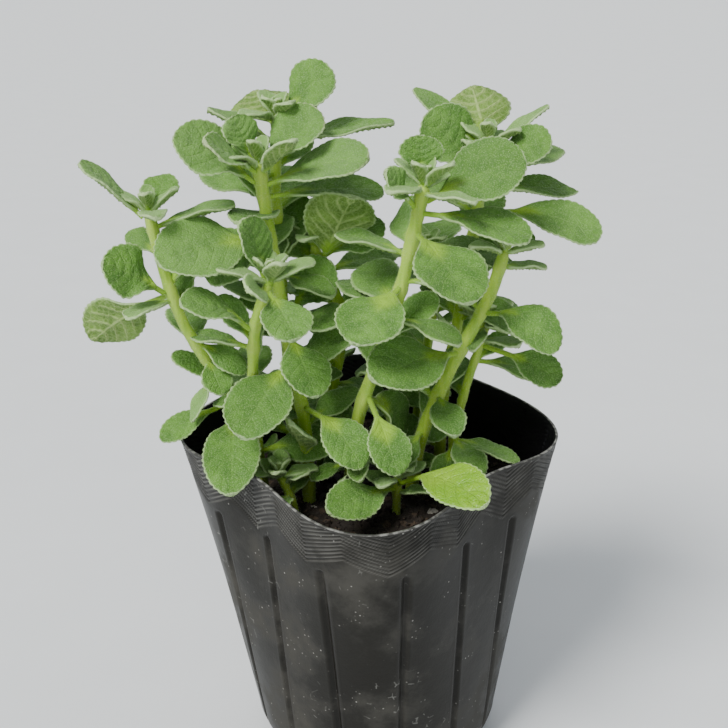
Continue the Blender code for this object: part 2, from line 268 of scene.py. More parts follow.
def leafFinish(name, look):
    material, tree, shader, where = newMaterial(name)
    felt = useGroup(tree, feltGroup, {"Where": where, "Grain": look["grain"]})
    uv = addNode(tree, "ShaderNodeUVMap", uv_map="leafMap")
    flat = addNode(tree, "ShaderNodeSeparateXYZ", {0: uv.outputs[0]}).outputs
    onMap = {"Across": minus(tree, times(tree, flat[0], 2.0), 1.0), "Along": flat[1]}
    veins = useGroup(tree, veinGroup, onMap)
    broad = useGroup(tree, veinGroup, {**onMap, "Width": look["broad"]})
    under, edge, foot = colourParts(tree, "leafState")
    # leafTone's first part is painted shade: how far a leaf goes to the darker shaded green
    shade, paleness, blush = colourParts(tree, "leafTone")
    clouds = noiseAt(tree, where, look["clouds"], 5.0, 0.6)
    net = cells(tree, where, look["net"], feature="DISTANCE_TO_EDGE")
    netMask = ramp(tree, net["Distance"], 0.0, 0.16, 1.0, 0.0)
    veinMask = sums(tree, "MAXIMUM", veins["Side"], veins["Middle"])
    broadMask = sums(tree, "MAXIMUM", broad["Side"], broad["Middle"])
    broadMask = times(tree, broadMask, ramp(tree, clouds, 0.3, 0.6, 0.55, 1.0))
    above = blend(tree, ramp(tree, clouds, 0.3, 0.7), look["deep"], look["fresh"])
    below = blend(tree, ramp(tree, clouds, 0.35, 0.7), look["underDeep"], look["underFresh"])
    for share, colour in (
        (times(tree, shade, look["shadeShare"]), "shaded"), (paleness, "young"),
        (times(tree, netMask, 0.1), "deep"), (times(tree, veinMask, look["veinShare"]), "vein"),
        (times(tree, felt["Dots"], look["dots"]), "hair"), (times(tree, felt["Lumps"], 0.3), "fresh"),
    ):
        above = blend(tree, share, above, look[colour])
    for share, colour in (
        (times(tree, netMask, 0.25), "underVein"), (times(tree, broadMask, 0.75), "underVein"),
        (times(tree, felt["Dots"], 0.22), "hair"),
    ):
        below = blend(tree, share, below, look[colour])
    colour = blend(tree, under, above, below)
    colour = blend(tree, times(tree, foot, ramp(tree, clouds, 0.1, 0.6, 0.7, 1.0)), colour, look["foot"])
    colour = blend(tree, times(tree, blush, edge), colour, look["blush"])
    colour = blend(tree, times(tree, edge, look["rimShare"]), colour, look["rim"])
    tree.links.new(colour, shader["Base Color"])
    rough = ramp(tree, felt["Lumps"], 0.3, 0.7, look["rough"] - 0.08, look["rough"] + 0.08)
    tree.links.new(rough, shader["Roughness"])
    # veins are sunk above and raised below
    veinHeight = times(tree, veinMask, minus(tree, times(tree, under, 2.6), 0.9))
    netHeight = times(tree, netMask, minus(tree, under, 0.6))
    height = plus(tree, plus(tree, felt["Height"], veinHeight), netHeight)
    bumped(tree, shader, height, look["bump"], 0.22 * mm)
    shader["Sheen Weight"].default_value = look["sheen"]
    shader["Sheen Roughness"].default_value = 0.5
    shader["Sheen Tint"].default_value = (0.86, 1.0, 0.74, 1)
    return material


matureLook = {
    "deep": (0.05, 0.15, 0.014), "fresh": (0.13, 0.31, 0.035), "shaded": (0.045, 0.13, 0.01),
    "young": (0.22, 0.42, 0.1), "vein": (0.2, 0.39, 0.07), "hair": (0.42, 0.62, 0.26),
    "underDeep": (0.08, 0.17, 0.015), "underFresh": (0.17, 0.31, 0.042), "underVein": (0.42, 0.57, 0.19),
    "foot": (0.28, 0.5, 0.03), "rim": (0.52, 0.7, 0.34), "blush": (0.42, 0.27, 0.2), "rimShare": 0.66,
    "shadeShare": 0.55, "veinShare": 0.22, "dots": 0.38, "rough": 0.74, "bump": 0.6, "sheen": 0.1,
    "grain": 2300.0, "clouds": 170.0, "net": 620.0, "broad": 0.24,
}
youngLook = {
    **matureLook, "deep": (0.12, 0.28, 0.045), "fresh": (0.22, 0.42, 0.1), "shaded": (0.1, 0.24, 0.03),
    "dots": 0.42, "rimShare": 0.85, "sheen": 0.2, "grain": 2700.0,
}
limeLook = {
    **matureLook, "deep": (0.16, 0.4, 0.008), "fresh": (0.3, 0.56, 0.02), "shaded": (0.15, 0.33, 0.01),
    "dots": 0.1, "rimShare": 0.8, "rough": 0.36, "sheen": 0.04, "bump": 0.8,
}
matureLeaf = leafFinish("matureLeaf", matureLook)
youngLeaf = leafFinish("youngLeaf", youngLook)
limeLeaf = leafFinish("limeLeaf", limeLook)


stemLook = {
    "dark": (0.28, 0.5, 0.028), "light": (0.42, 0.64, 0.055), "old": (0.3, 0.46, 0.035),
    "knot": (0.4, 0.56, 0.08), "hair": (0.5, 0.64, 0.2), "grain": 2900.0, "streak": (700.0, 700.0, 40.0),
    "rough": (0.5, 0.66), "bump": 0.5, "sheen": 0.12,
}
stemFinish, tree, shader, where = newMaterial("hairyStem")
felt = useGroup(tree, feltGroup, {"Where": where, "Grain": stemLook["grain"]})
# stemState's first part is painted shade: stems go a duller, darker green towards the soil
soilShadeShare, knot, _ = colourParts(tree, "stemState")
streak = addNode(tree, "ShaderNodeMapping", {0: where, 3: stemLook["streak"]})
streaks = noiseAt(tree, streak.outputs[0], 1.0, 3.0)
green = blend(tree, ramp(tree, streaks, 0.35, 0.68), stemLook["dark"], stemLook["light"])
for share, colour in (
    (soilShadeShare, "old"), (times(tree, knot, 0.5), "knot"), (times(tree, felt["Dots"], 0.22), "hair"),
):
    green = blend(tree, share, green, stemLook[colour])
tree.links.new(green, shader["Base Color"])
tree.links.new(ramp(tree, streaks, 0.3, 0.7, *stemLook["rough"]), shader["Roughness"])
bumped(tree, shader, plus(tree, times(tree, streaks, 1.2), felt["Height"]), stemLook["bump"], 0.2 * mm)
shader["Sheen Weight"].default_value = stemLook["sheen"]
shader["Sheen Tint"].default_value = (0.9, 1.0, 0.75, 1)

hairFinish, _, shader, _ = newMaterial("paleHair")
shader["Base Color"].default_value = (0.68, 0.82, 0.48, 1)
shader["Roughness"].default_value = 0.55

# ridge is the lighter colour of a painted highlight on the band's ridge crests
potLook = {
    "dark": (0.0055, 0.005, 0.004), "light": (0.015, 0.0138, 0.0105), "dust": (0.08, 0.077, 0.068),
    "ridge": (0.12, 0.118, 0.108), "scratch": (0.3, 0.3, 0.28), "speck": (0.42, 0.41, 0.38),
    "inside": (0.008, 0.008, 0.009), "cut": (0.34, 0.34, 0.32), "rough": (0.3, 0.6), "bump": 0.35,
    "specular": 0.17, "mottle": 25.0, "rubbed": 110.0, "worn": 400.0, "grain": 1500.0, "wrinkle": 160.0,
}
potFinish, tree, shader, where = newMaterial("thinBlackPlastic")
dust = useGroup(tree, dustGroup, {"Where": where, "Cloud": 48.0, "Grit": 900.0})
cut, ridge, inner = colourParts(tree, "potState")
mottle = noiseAt(tree, where, potLook["mottle"], 4.0)
# painted highlight on the ridge crests, stronger in some noise patches than others
rubbed = ramp(tree, noiseAt(tree, where, potLook["rubbed"], 4.0), 0.38, 0.62, 0.2, 0.95)
worn = ramp(tree, noiseAt(tree, where, potLook["worn"], 3.0), 0.4, 0.62)
black = blend(tree, mottle, potLook["dark"], potLook["light"])
for share, colour in (
    (times(tree, dust["Clouds"], 0.6), "dust"), (times(tree, ridge, rubbed), "ridge"),
    (times(tree, dust["Scratches"], 0.4), "scratch"), (times(tree, dust["Specks"], 0.8), "speck"),
    (inner, "inside"), (times(tree, cut, plus(tree, times(tree, worn, 0.6), 0.15)), "cut"),
):
    black = blend(tree, share, black, potLook[colour])
tree.links.new(black, shader["Base Color"])
rough = ramp(tree, dust["Clouds"], 0.0, 1.0, *potLook["rough"])
tree.links.new(plus(tree, rough, times(tree, mottle, 0.12)), shader["Roughness"])
grain = times(tree, noiseAt(tree, where, potLook["grain"], 3.0), 0.3)
height = plus(tree, grain, noiseAt(tree, where, potLook["wrinkle"]))
bumped(tree, shader, plus(tree, height, times(tree, dust["Specks"], 0.8)), potLook["bump"], 0.3 * mm)
shader["Specular IOR Level"].default_value = potLook["specular"]

soilLook = {
    "dark": (0.006, 0.0045, 0.0035), "light": (0.028, 0.019, 0.012), "bark": (0.075, 0.05, 0.03),
    "grit": (0.3, 0.28, 0.25), "flakes": 420.0, "clouds": 240.0, "grain": 900.0, "bump": 0.8,
}
soilFinish, tree, shader, where = newMaterial("darkPottingMix")
flakes = cells(tree, where, soilLook["flakes"])
pickOne = addNode(tree, "ShaderNodeSeparateColor", {0: flakes["Color"]}).outputs
brown = blend(tree, noiseAt(tree, where, soilLook["clouds"], 4.0), soilLook["dark"], soilLook["light"])
brown = blend(tree, times(tree, sums(tree, "GREATER_THAN", pickOne[0], 0.86), 0.6), brown, soilLook["bark"])
brown = blend(tree, sums(tree, "GREATER_THAN", pickOne[1], 0.992), brown, soilLook["grit"])
tree.links.new(brown, shader["Base Color"])
tree.links.new(ramp(tree, pickOne[2], 0.0, 1.0, 0.8, 0.98), shader["Roughness"])
height = plus(tree, noiseAt(tree, where, soilLook["grain"], 4.0), flakes["Distance"])
bumped(tree, shader, height, soilLook["bump"], 0.6 * mm)
print("materials made")

potSizes = {
    "height": 105 * mm, "rimRadius": 51.5 * mm, "footRadius": 37.5 * mm, "wall": 0.7 * mm,
    "footRound": 11 * mm, "cornerReach": 6 * mm, "lean": 3 * mm, "tilt": 3.5 * mm, "wave": 1.5 * mm,
    "columns": 448, "footRings": 8, "wallRings": 16, "bandRings": 52, "insets": (10 * mm, 8 * mm, 8 * mm),
    "grooves": 14, "grooveDepth": 1.2 * mm, "grooveHalf": 1.5 * mm, "grooveDrop": 18 * mm,
    "grooveStart": math.radians(-80), "lipHeight": 0.06, "ridgePitch": 1.45 * mm, "ridgeHeight": 0.2 * mm,
    "bandTop": 1.6 * mm, "bandDrop": 14 * mm, "zigHeight": 6 * mm, "zigTurn": math.radians(5),
    "dent": 0.35 * mm, "dentScale": 38, "dentLow": (20 * mm, 60 * mm), "dentHigh": (8 * mm, 2 * mm),
    "drainRadius": 2.8 * mm, "drainRing": 17 * mm, "drains": 6,
}


def straightRadius(height):
    s = potSizes
    return s["footRadius"] + (s["rimRadius"] - s["footRadius"]) * height / s["height"]


def potRadius(height):
    s = potSizes
    if height >= s["footRound"]:
        return straightRadius(height)
    fall = s["footRound"] - height
    middle = straightRadius(s["footRound"]) - s["footRound"]
    return middle + math.sqrt(max(s["footRound"] ** 2 - fall ** 2, 0.0))


def pressedRim(x, y, z):
    # the soft rim is pressed into a rounded diamond and leans a little
    s = potSizes
    share = np.maximum(z, 0) / s["height"]
    radius = np.hypot(x, y)
    angle = np.arctan2(y, x)
    out = radius / straightRadius(z)
    wide = radius + s["cornerReach"] * out * share ** 1.3 * np.cos(4 * angle)
    rise = (s["tilt"] * np.sin(angle) - s["wave"] * np.cos(4 * angle)) * share ** 4 * out
    return wide * np.cos(angle) - s["lean"] * share, wide * np.sin(angle), z + rise


def drawPot():
    # a plain round cup: rings drawn up from the foot, and a floor inset to its middle
    s = potSizes
    letGo()
    bpy.ops.mesh.primitive_circle_add(vertices=s["columns"], radius=potRadius(0), fill_type="NGON")
    pot = bpy.context.object
    pot.name = "nurseryPot"
    bandLow = s["height"] - s["bandDrop"] - s["zigHeight"]
    turns = [math.pi / 2 * i / s["footRings"] for i in range(1, s["footRings"] + 1)]
    heights = [s["footRound"] * (1 - math.cos(turn)) for turn in turns]
    heights += list(np.linspace(s["footRound"], bandLow, s["wallRings"])[1:])
    heights += list(np.linspace(bandLow, s["height"], s["bandRings"])[1:])
    steps, last, lastRadius = [selectAll], 0.0, potRadius(0)
    for high in heights:
        grow = potRadius(high) / lastRadius
        onward = {"value": (0, 0, high - last)}
        steps.append((bpy.ops.mesh.extrude_region_move, {"TRANSFORM_OT_translate": onward}))
        steps.append((bpy.ops.transform.resize, {"value": (grow, grow, 1), "center_override": (0, 0, high)}))
        last, lastRadius = high, potRadius(high)
    inEditMode(*steps, (bpy.ops.mesh.delete, {"type": "FACE"}), selectNone)  # the mouth is open
    for face in pot.data.polygons:
        face.select = len(face.vertices) > 4
    insets = [(bpy.ops.mesh.inset, {"thickness": step, "depth": 0}) for step in s["insets"]]
    inEditMode(*insets, bpy.ops.mesh.poke)
    return pot


def shapePot(pot):
    # grooves, the pressed zigzag band and soft dents, and a paint that says where they are; the material
    # gives the ridges a painted highlight
    s = potSizes
    x, y, z = coordinates(pot.data).T
    onRim = np.abs(z - s["height"]) < 0.01 * mm
    radius, angle = np.hypot(x, y), np.arctan2(y, x)
    period = 2 * math.pi / s["grooves"]
    turn = (angle - s["grooveStart"] + period / 2) % period - period / 2
    aside = np.abs(turn) * s["rimRadius"] / s["grooveHalf"]
    aboveEnd = np.maximum((z - s["height"] + s["grooveDrop"]) / s["grooveHalf"] + 1.0, 0)
    away = np.hypot(aside, aboveEnd)  # from the groove's middle line, in half widths
    deep = (1 - eased(0.15, 1.0, away)) * eased(s["footRound"] * 0.2, s["footRound"] * 1.2, z)
    lip = np.exp(-((away - 1.25) / 0.3) ** 2) * s["lipHeight"] * (z > s["footRound"])
    zig = np.abs(2 * (((angle - s["grooveStart"] + s["zigTurn"]) / period) % 1.0) - 1) * s["zigHeight"]
    level = z - s["height"] + zig
    band = eased(-s["bandDrop"], -s["bandDrop"] + 1.5 * mm, level - s["zigHeight"] * 0.3)
    band = band * (1 - eased(-s["bandTop"], -0.4 * mm, z - s["height"]))
    ridge = np.sin(2 * math.pi * level / s["ridgePitch"]) * band
    lift = s["ridgeHeight"] * (ridge - band) + s["grooveDepth"] * (lip - deep)
    nearTop = [s["height"] - drop for drop in s["dentHigh"]]
    dent = np.array([noise(Vector((a, b, c * 0.5)) * s["dentScale"]) for a, b, c in zip(x, y, z)])
    lift = lift + s["dent"] * eased(*s["dentLow"], z) * (dent * (1 - eased(*nearTop, z)) - 1)
    radius = radius + lift * ((radius > 0.6 * s["footRadius"]) & (z > 1e-6))
    place = pressedRim(radius * np.cos(angle), radius * np.sin(angle), z)
    pot.data.vertices.foreach_set("co", np.stack(place, 1).ravel())
    return np.stack([onRim, np.clip(ridge, 0, 1), 0 * z, 0 * z + 1], 1)


def makePot():
    s = potSizes
    pot = drawPot()
    outside = shapePot(pot)
    pick(pot)
    inEditMode(selectAll, normalsOut)
    shell = pot.modifiers.new("wall", "SOLIDIFY")
    shell.thickness, shell.offset, shell.use_even_offset = s["wall"], -1, True
    bpy.ops.object.modifier_apply(modifier="wall")
    # the wall's inner side comes after its outer side, point for point
    state = np.vstack([outside, outside * (1, 0, 0, 1) + (0, 0, 1, 0)])
    paint = pot.data.color_attributes.new("potState", "FLOAT_COLOR", "POINT")
    paint.data.foreach_set("color", state.ravel())
    for i in range(s["drains"]):
        turn = 2 * math.pi * (i + 0.5) / s["drains"]
        spot = (s["drainRing"] * math.cos(turn), s["drainRing"] * math.sin(turn), 0)
        letGo()
        bpy.ops.mesh.primitive_cylinder_add(vertices=24, radius=s["drainRadius"], depth=6 * mm, location=spot)
        cutter = bpy.context.object
        cut = pot.modifiers.new("drain", "BOOLEAN")
        cut.operation, cut.solver, cut.object = "DIFFERENCE", "EXACT", cutter
        pick(pot)
        bpy.ops.object.modifier_apply(modifier="drain")
        bpy.data.objects.remove(cutter)
    bpy.ops.object.shade_smooth()
    showPiece(pot, potFinish, ["pot"])
    return pot


pot = makePot()
print("pot made:", len(pot.data.polygons), "faces")


def makeBlank(name, around, rings):
    # a capped tube, one metre radius, with its rings one metre apart and a point at its far end
    letGo()
    bpy.ops.mesh.primitive_circle_add(vertices=around, radius=1, fill_type="NGON")
    blank = bpy.context.object
    onward = (bpy.ops.mesh.extrude_region_move, {"TRANSFORM_OT_translate": {"value": (0, 0, 1)}})
    inEditMode(selectAll, *[onward] * (rings - 1), bpy.ops.mesh.poke, selectAll, normalsOut, selectNone)
    bpy.ops.object.shade_smooth()
    mesh = blank.data
    mesh.name = name
    co = coordinates(mesh)
    corner = np.empty(len(mesh.loops), int)
    mesh.loops.foreach_get("vertex_index", corner)
    for layer in list(mesh.uv_layers):
        mesh.uv_layers.remove(layer)
    mesh.uv_layers.new(name="leafMap")
    bpy.data.objects.remove(blank, do_unlink=True)
    return {
        "mesh": mesh, "ring": np.rint(co[:, 2]).astype(int), "middle": np.hypot(co[:, 0], co[:, 1]) < 0.1,
        "slot": np.rint(np.arctan2(co[:, 1], co[:, 0]) / (2 * math.pi / around)).astype(int) % around,
        "corner": corner, "around": around, "rings": rings,
    }


def castFrom(blank, name, grid, colours, across=None, along=None):
    # a copy of the blank with its own mesh, moved onto a grid of rings
    mesh = blank["mesh"].copy()
    mesh.name = name
    place = grid[blank["ring"], blank["slot"]]
    place[blank["middle"]] = grid[-1].mean(axis=0)
    mesh.vertices.foreach_set("co", place.ravel())
    for label, values in colours.items():
        full = np.ones((len(place), 4))
        full[:, :3] = values[blank["ring"], blank["slot"]]
        layer = mesh.color_attributes.new(label, "FLOAT_COLOR", "POINT")
        layer.data.foreach_set("color", full.ravel())
    if across is not None:
        flat = np.stack([part[blank["ring"], blank["slot"]] for part in (across, along)], 1)
        mesh.uv_layers["leafMap"].data.foreach_set("uv", flat[blank["corner"]].ravel())
    mesh.update()
    return linked(name, mesh)


def throughPoints(knots, rows, at):
    # a smooth line through rows at the knots
    slope = np.gradient(rows, knots, axis=0)
    i = np.clip(np.searchsorted(knots, at) - 1, 0, len(knots) - 2)
    wide = (knots[i + 1] - knots[i])[:, None]
    x = (at[:, None] - knots[i][:, None]) / wide
    return (
        (2 * x ** 3 - 3 * x ** 2 + 1) * rows[i] + (x ** 3 - 2 * x ** 2 + x) * wide * slope[i]
        + (3 * x ** 2 - 2 * x ** 3) * rows[i + 1] + (x ** 3 - x ** 2) * wide * slope[i + 1]
    )


stemNames = sorted(n[5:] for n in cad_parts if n.startswith("stem_"))
leafNames = sorted(n[5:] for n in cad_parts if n.startswith("leaf_"))


def mergedCopy(nodeName):
    form = bmesh.new()
    form.from_mesh(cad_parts[nodeName].data)
    bmesh.ops.remove_doubles(form, verts=form.verts, dist=1e-6)
    return form


def stemLine(name):
    # centre and thickness of the frame's stem at even heights
    form = mergedCopy("stem_" + name)
    ends = np.array([[tuple(v.co) for v in e.verts] for e in form.edges])
    form.free()
    a, b = ends[:, 0], ends[:, 1]
    heights = np.linspace(ends[..., 2].min() + 0.3 * mm, ends[..., 2].max() - 0.8 * mm, 40)
    cuts = []
    for z in heights:
        cross = (a[:, 2] - z) * (b[:, 2] - z) < 0
        share = ((z - a[cross, 2]) / (b[cross, 2] - a[cross, 2]))[:, None]
        cuts.append(a[cross] + (b[cross] - a[cross]) * share)
    centres = np.array([(hits.min(axis=0) + hits.max(axis=0)) / 2 for hits in cuts])
    ahead = unit(np.gradient(centres, axis=0))
    radius = []
    for hits, middle, way in zip(cuts, centres, ahead):
        off = hits - middle
        off = off - (off @ way)[:, None] * way
        radius.append(np.linalg.norm(off, axis=1).min())
    return {"heights": heights, "centres": centres, "ahead": ahead, "radius": np.array(radius)}


stems = {name: stemLine(name) for name in stemNames}


def onStem(name, height):
    line = stems[name]
    z = np.array([np.clip(height, line["heights"][0], line["heights"][-1])])
    place = throughPoints(line["heights"], line["centres"], z)[0]
    way = unit(throughPoints(line["heights"], line["ahead"], z))[0]
    return place, way, float(np.interp(z[0], line["heights"], line["radius"]))


def circleCap(form):
    # the round end of a leaf's petiole is a flat ring of eight corners
    done = set()
    for face in form.faces:
        if face in done:
            continue
        patch = [face]
        done.add(face)
        for one in patch:
            for other in (f for edge in one.edges for f in edge.link_faces):
                if other not in done and other.normal.dot(face.normal) > 0.9999:
                    done.add(other)
                    patch.append(other)
        corners = {v for one in patch for v in one.verts}
        if len(patch) == 6 and len(corners) == 8:
            middle = sum((v.co for v in corners), Vector()) / 8
            reach = [(v.co - middle).length for v in corners]
            if max(reach) < 1.08 * min(reach):
                return corners
    raise RuntimeError("a leaf of the frame has no round petiole end")


def frameSpine(name):
    # the frame's leaf as stations: centre and side at each ring from petiole to tip
    form = mergedCopy("leaf_" + name)
    rings = [circleCap(form)]
    seen = set(rings[0])
    while True:
        following = {e.other_vert(v) for v in rings[-1] for e in v.link_edges} - seen
        if not following:
            break
        rings.append(following)
        seen |= following
    centres, sides, faces, halves = [], [], [], []
    for i, ring in enumerate(rings):
        points = np.array(sorted(tuple(v.co) for v in ring))
        mean = points.mean(axis=0)
        if i < 2:  # the petiole's two rings
            centres.append(mean)
            continue
        gaps = np.linalg.norm(points[:, None] - points[None], axis=2)
        a, b = np.unravel_index(gaps.argmax(), gaps.shape)
        between = (points[a] + points[b]) / 2
        centres.append(2 * mean - between)
        sides.append(unit(points[a] - points[b]))
        faces.append(unit(between - mean))
        halves.append(gaps[a, b] / 2)
    form.free()
    for i, face in enumerate(faces):
        if np.dot(np.cross(centres[i + 2] - centres[i + 1], sides[i]), face) < 0:
            sides[i] = -sides[i]
    return makeSpine(np.array(centres), np.array(sides), max(halves))


leafShape = {
    "thick": 1.4 * mm, "petioleRadius": 0.85 * mm, "cup": 0.16, "scallop": 0.5 * mm, "scallopPitch": 2.0 * mm,
    "quilt": 0.38 * mm, "underRib": 0.45 * mm, "underVein": 0.26 * mm, "middleGroove": 0.3 * mm,
    "ribWidth": 0.9 * mm, "wave": 0.6 * mm, "insideStem": 1.6 * mm, "fullSize": 8 * mm, "flatness": 0.58,
    "thinEdge": 0.28, "rimWidth": 0.45 * mm, "footFade": 0.24,
    "stations": np.array([0.1, 0.34, 0.6, 0.83, 0.98]),  # shares of the blade where the frame has rings
}
# share of the blade's length, and of its half width; None is the petiole's own radius
leafOutline = [(0.0, None), (0.12, 0.36), (0.35, 0.87), (0.6, 1.02), (0.83, 0.8), (0.965, 0.38), (1.0, 0.0)]
# points around a leaf, rings in its petiole and rings in its blade
leafGrids = {"large": (32, 9, 92), "small": (24, 6, 50), "bud": (16, 3, 26)}
leafBlanks = {}
for label, (around, petioleRings, bladeRings) in leafGrids.items():
    blank = makeBlank(label + "Blank", around, petioleRings + bladeRings)
    leafBlanks[label] = {**blank, "petioleRings": petioleRings}


def makeSpine(centres, sides, half):
    # the line a leaf is built along, carried on to its tip
    knots = np.concatenate([[0], np.cumsum(np.linalg.norm(np.diff(centres, axis=0), axis=1))])
    start = knots[1]
    blade = (knots[-1] - start) / leafShape["stations"][-1]
    tip = centres[-1] + unit(centres[-1] - centres[-2]) * (1 - leafShape["stations"][-1]) * blade
    return {
        "knots": np.append(knots, start + blade), "centres": np.vstack([centres, tip]),
        "sides": np.vstack([sides[0], sides[0], sides, sides[-1]]),
        "start": start, "blade": blade, "half": half,
    }


def freeSpine(joint, thick, heading, rise, petiole, blade, width, roll, droop):
    # a leaf the frame has no solid for: headings and slopes in degrees, lengths in metres
    bends, startShare = 6, 0.4
    turn, slope = math.radians(heading), math.radians(rise)
    level = np.array([math.cos(turn), math.sin(turn), 0])
    side = np.array([-math.sin(turn), math.cos(turn), 0])
    upward = np.array([0, 0, 1.0])
    total = petiole + blade
    shares = np.concatenate([[0, petiole / total], (petiole + blade * leafShape["stations"]) / total])
    centres, sides = [], []
    place = joint + startShare * thick * (level * math.cos(slope) + upward * math.sin(slope))
    last = 0.0
    for share in shares:
        for k in range(bends):
            at = last + (share - last) * (k + 0.5) / bends
            tilt = math.radians(rise + droop * (0.5 - at))
            step = total * (share - last) / bends
            place = place + (level * math.cos(tilt) + upward * math.sin(tilt)) * step
        last = share
        tilt = math.radians(rise + droop * (0.5 - share))
        up = upward * math.cos(tilt) - level * math.sin(tilt)
        spin = math.radians(roll) * min(1.0, share * 2)
        centres.append(place.copy())
        sides.append(side * math.cos(spin) + up * math.sin(spin))
    return makeSpine(np.array(centres), np.array(sides[2:]), width / 2)


def grownSpine(stem, height, *shape):
    joint, _, thick = onStem(stem, height)
    return freeSpine(joint, thick, *shape)


def outlineStations(spine, count, foot):
    # even steps along the blade's edge: share of length, half width and the edge's outward way
    half, blade = spine["half"], spine["blade"]
    points = np.array([(s * blade, foot if w is None else w * half) for s, w in leafOutline])
    ends = np.vstack([points[0] - (0.06 * blade, 0), points, points[-2] * (1, -1)])
    fine = throughPoints(np.arange(len(ends), dtype=float), ends, np.linspace(1, len(ends) - 2, 400))
    walk = np.concatenate([[0], np.cumsum(np.linalg.norm(np.diff(fine, axis=0), axis=1))])
    even = np.linspace(0, walk[-1] - 0.12 * mm, count)
    s = np.interp(even, walk, fine[:, 0])
    w = np.maximum(np.interp(even, walk, fine[:, 1]), 0.04 * mm)
    ds, dw = np.gradient(s), np.gradient(w)
    size = np.hypot(ds, dw)
    return s / blade, w, even, -dw / size, ds / size


def leafGrid(spine, blank, look):
    # rings of points from inside the stem to the tip; u runs from side to side and v from under to over
    p = leafShape
    around, petioleRings = blank["around"], blank["petioleRings"]
    # the blade runs down its petiole as a wedge
    start = spine["start"] * (1 - look["wedge"])
    blade = spine["start"] + spine["blade"] - start
    scale = min(1.0, spine["half"] / p["fullSize"]) ** 0.5 * look["size"]
    thick = p["thick"] * look["thick"] * (0.55 + 0.45 * scale)
    foot = p["petioleRadius"] * (0.6 + 0.4 * scale)
    stations = outlineStations({**spine, "blade": blade}, blank["rings"] - petioleRings, foot)
    padding = (None, foot, 0, 0, 1)
    share, wide, walk, tipOut, sideOut = [
        row if pad is None else np.concatenate([np.full(petioleRings, float(pad)), row])
        for row, pad in zip(stations, padding)
    ]
    before = np.linspace(-p["insideStem"], start, petioleRings, endpoint=False)
    along = np.concatenate([before, start + share * blade])
    inBlade = (along - start) / blade
    centre = throughPoints(spine["knots"], spine["centres"], np.maximum(along, 0))
    centre = centre + unit(spine["centres"][1] - spine["centres"][0]) * np.minimum(along, 0)[:, None]
    ahead = unit(np.gradient(centre, axis=0))
    side = throughPoints(spine["knots"], spine["sides"], np.maximum(along, 0))
    side = unit(side - (side * ahead).sum(1)[:, None] * ahead)
    face = np.cross(ahead, side)
    angle = 2 * math.pi * np.arange(around) / around
    u, v = np.cos(angle)[None, :], np.sin(angle)[None, :]
    w, reach, seed = wide[:, None], inBlade[:, None], look["seed"]
    grown = eased(0.0, 0.3, reach)
    # the body: round in the petiole, flat with a thinner edge in the blade
    half = foot + (thick / 2 - foot) * grown
    half = half * (1 - p["thinEdge"] * grown * u ** 2) * np.minimum(1, w / thick + 0.25)
    body = np.sign(v) * np.abs(v) ** (1 - p["flatness"] * grown) * half
    lift = p["cup"] * look["cup"] * w * u ** 2 * grown
    waves = np.sin(7 * reach + seed + 1.6 * np.sign(u)) + 0.5 * np.sin(13 * reach + 2.1 * seed * np.sign(u))
    curl = p["wave"] * scale * grown * np.abs(u) ** 3 * waves
    # veins: the blade puffs between them, and below they stand out as ribs
    phase = (reach - leafVeins["sweep"] * np.abs(u) ** leafVeins["bend"]) * leafVeins["count"]
    gap = np.abs(phase % 1 - 0.5)
    fade = eased(0.05, 0.2, reach) * (1 - eased(0.75, 0.98, np.abs(u)))
    puff = (eased(0.0, 0.3, gap) - 0.5) * p["quilt"] * fade * scale
    ribLine = np.exp(-(u * w / p["ribWidth"]) ** 2)
    groove = -p["middleGroove"] * ribLine * eased(0.02, 0.15, reach) * (1 - eased(0.7, 0.95, reach)) * scale
    under = v < -0.01
    midrib = p["underRib"] * ribLine * (1 - 0.6 * eased(0.2, 1, reach))
    ribs = -(midrib + p["underVein"] * (1 - eased(0.0, 0.11, gap)) * fade) * grown * scale
    height = body + lift + curl + puff + groove + np.where(under, ribs, 0) * np.abs(v) ** 0.5
    # scallops walk along the edge
    pitch = p["scallopPitch"] * (0.62 + 0.38 * scale)
    lobe = np.abs(np.sin(math.pi * (walk / pitch + 0.3 * seed))) ** 0.8 - 0.62
    out = p["scallop"] * look["scallop"] * scale * lobe * eased(0.12, 0.4, inBlade)
    out = out[:, None] * np.abs(u) ** 10
    grid = (
        centre[:, None] + side[:, None] * (u * w + np.sign(u) * out * sideOut[:, None])[..., None]
        + face[:, None] * height[..., None] + ahead[:, None] * (out * tipOut[:, None] * u ** 2)[..., None]
    )
    near = np.minimum((1 - np.abs(u)) * w, np.maximum(blade * (1 - reach), 0) + 0 * u)
    rim = (1 - eased(0.05 * mm, p["rimWidth"] * (0.5 + 0.5 * scale), near)) * eased(0.0, 0.12, reach)
    footMask = 1 - eased(look["footEnd"], look["footEnd"] + p["footFade"], reach + 0.25 * np.abs(u))
    zero = np.zeros_like(height)
    state = np.stack([zero + under, rim, footMask], axis=-1)
    blush = look["blush"] * eased(0.6, 1.0, reach)
    tone = np.stack([zero + look["shade"], zero + look["pale"], zero + blush], axis=-1)
    return grid, state, tone, (u + 1) / 2 + zero, reach + zero


# hairs are tiny closed spikes: how many on a square millimetre, and how long
hairShape = {
    "top": (1.5, 0.22 * mm), "under": (0.7, 0.28 * mm), "margin": (8.0, 0.36 * mm),
    "petiole": (4.0, 0.45 * mm), "stem": (3.2, 0.6 * mm),
    "sunk": 0.05 * mm, "thin": 0.03 * mm, "tilt": 0.33, "marginFrom": 0.965,
}
hairStore = {name: [] for name in stemNames}


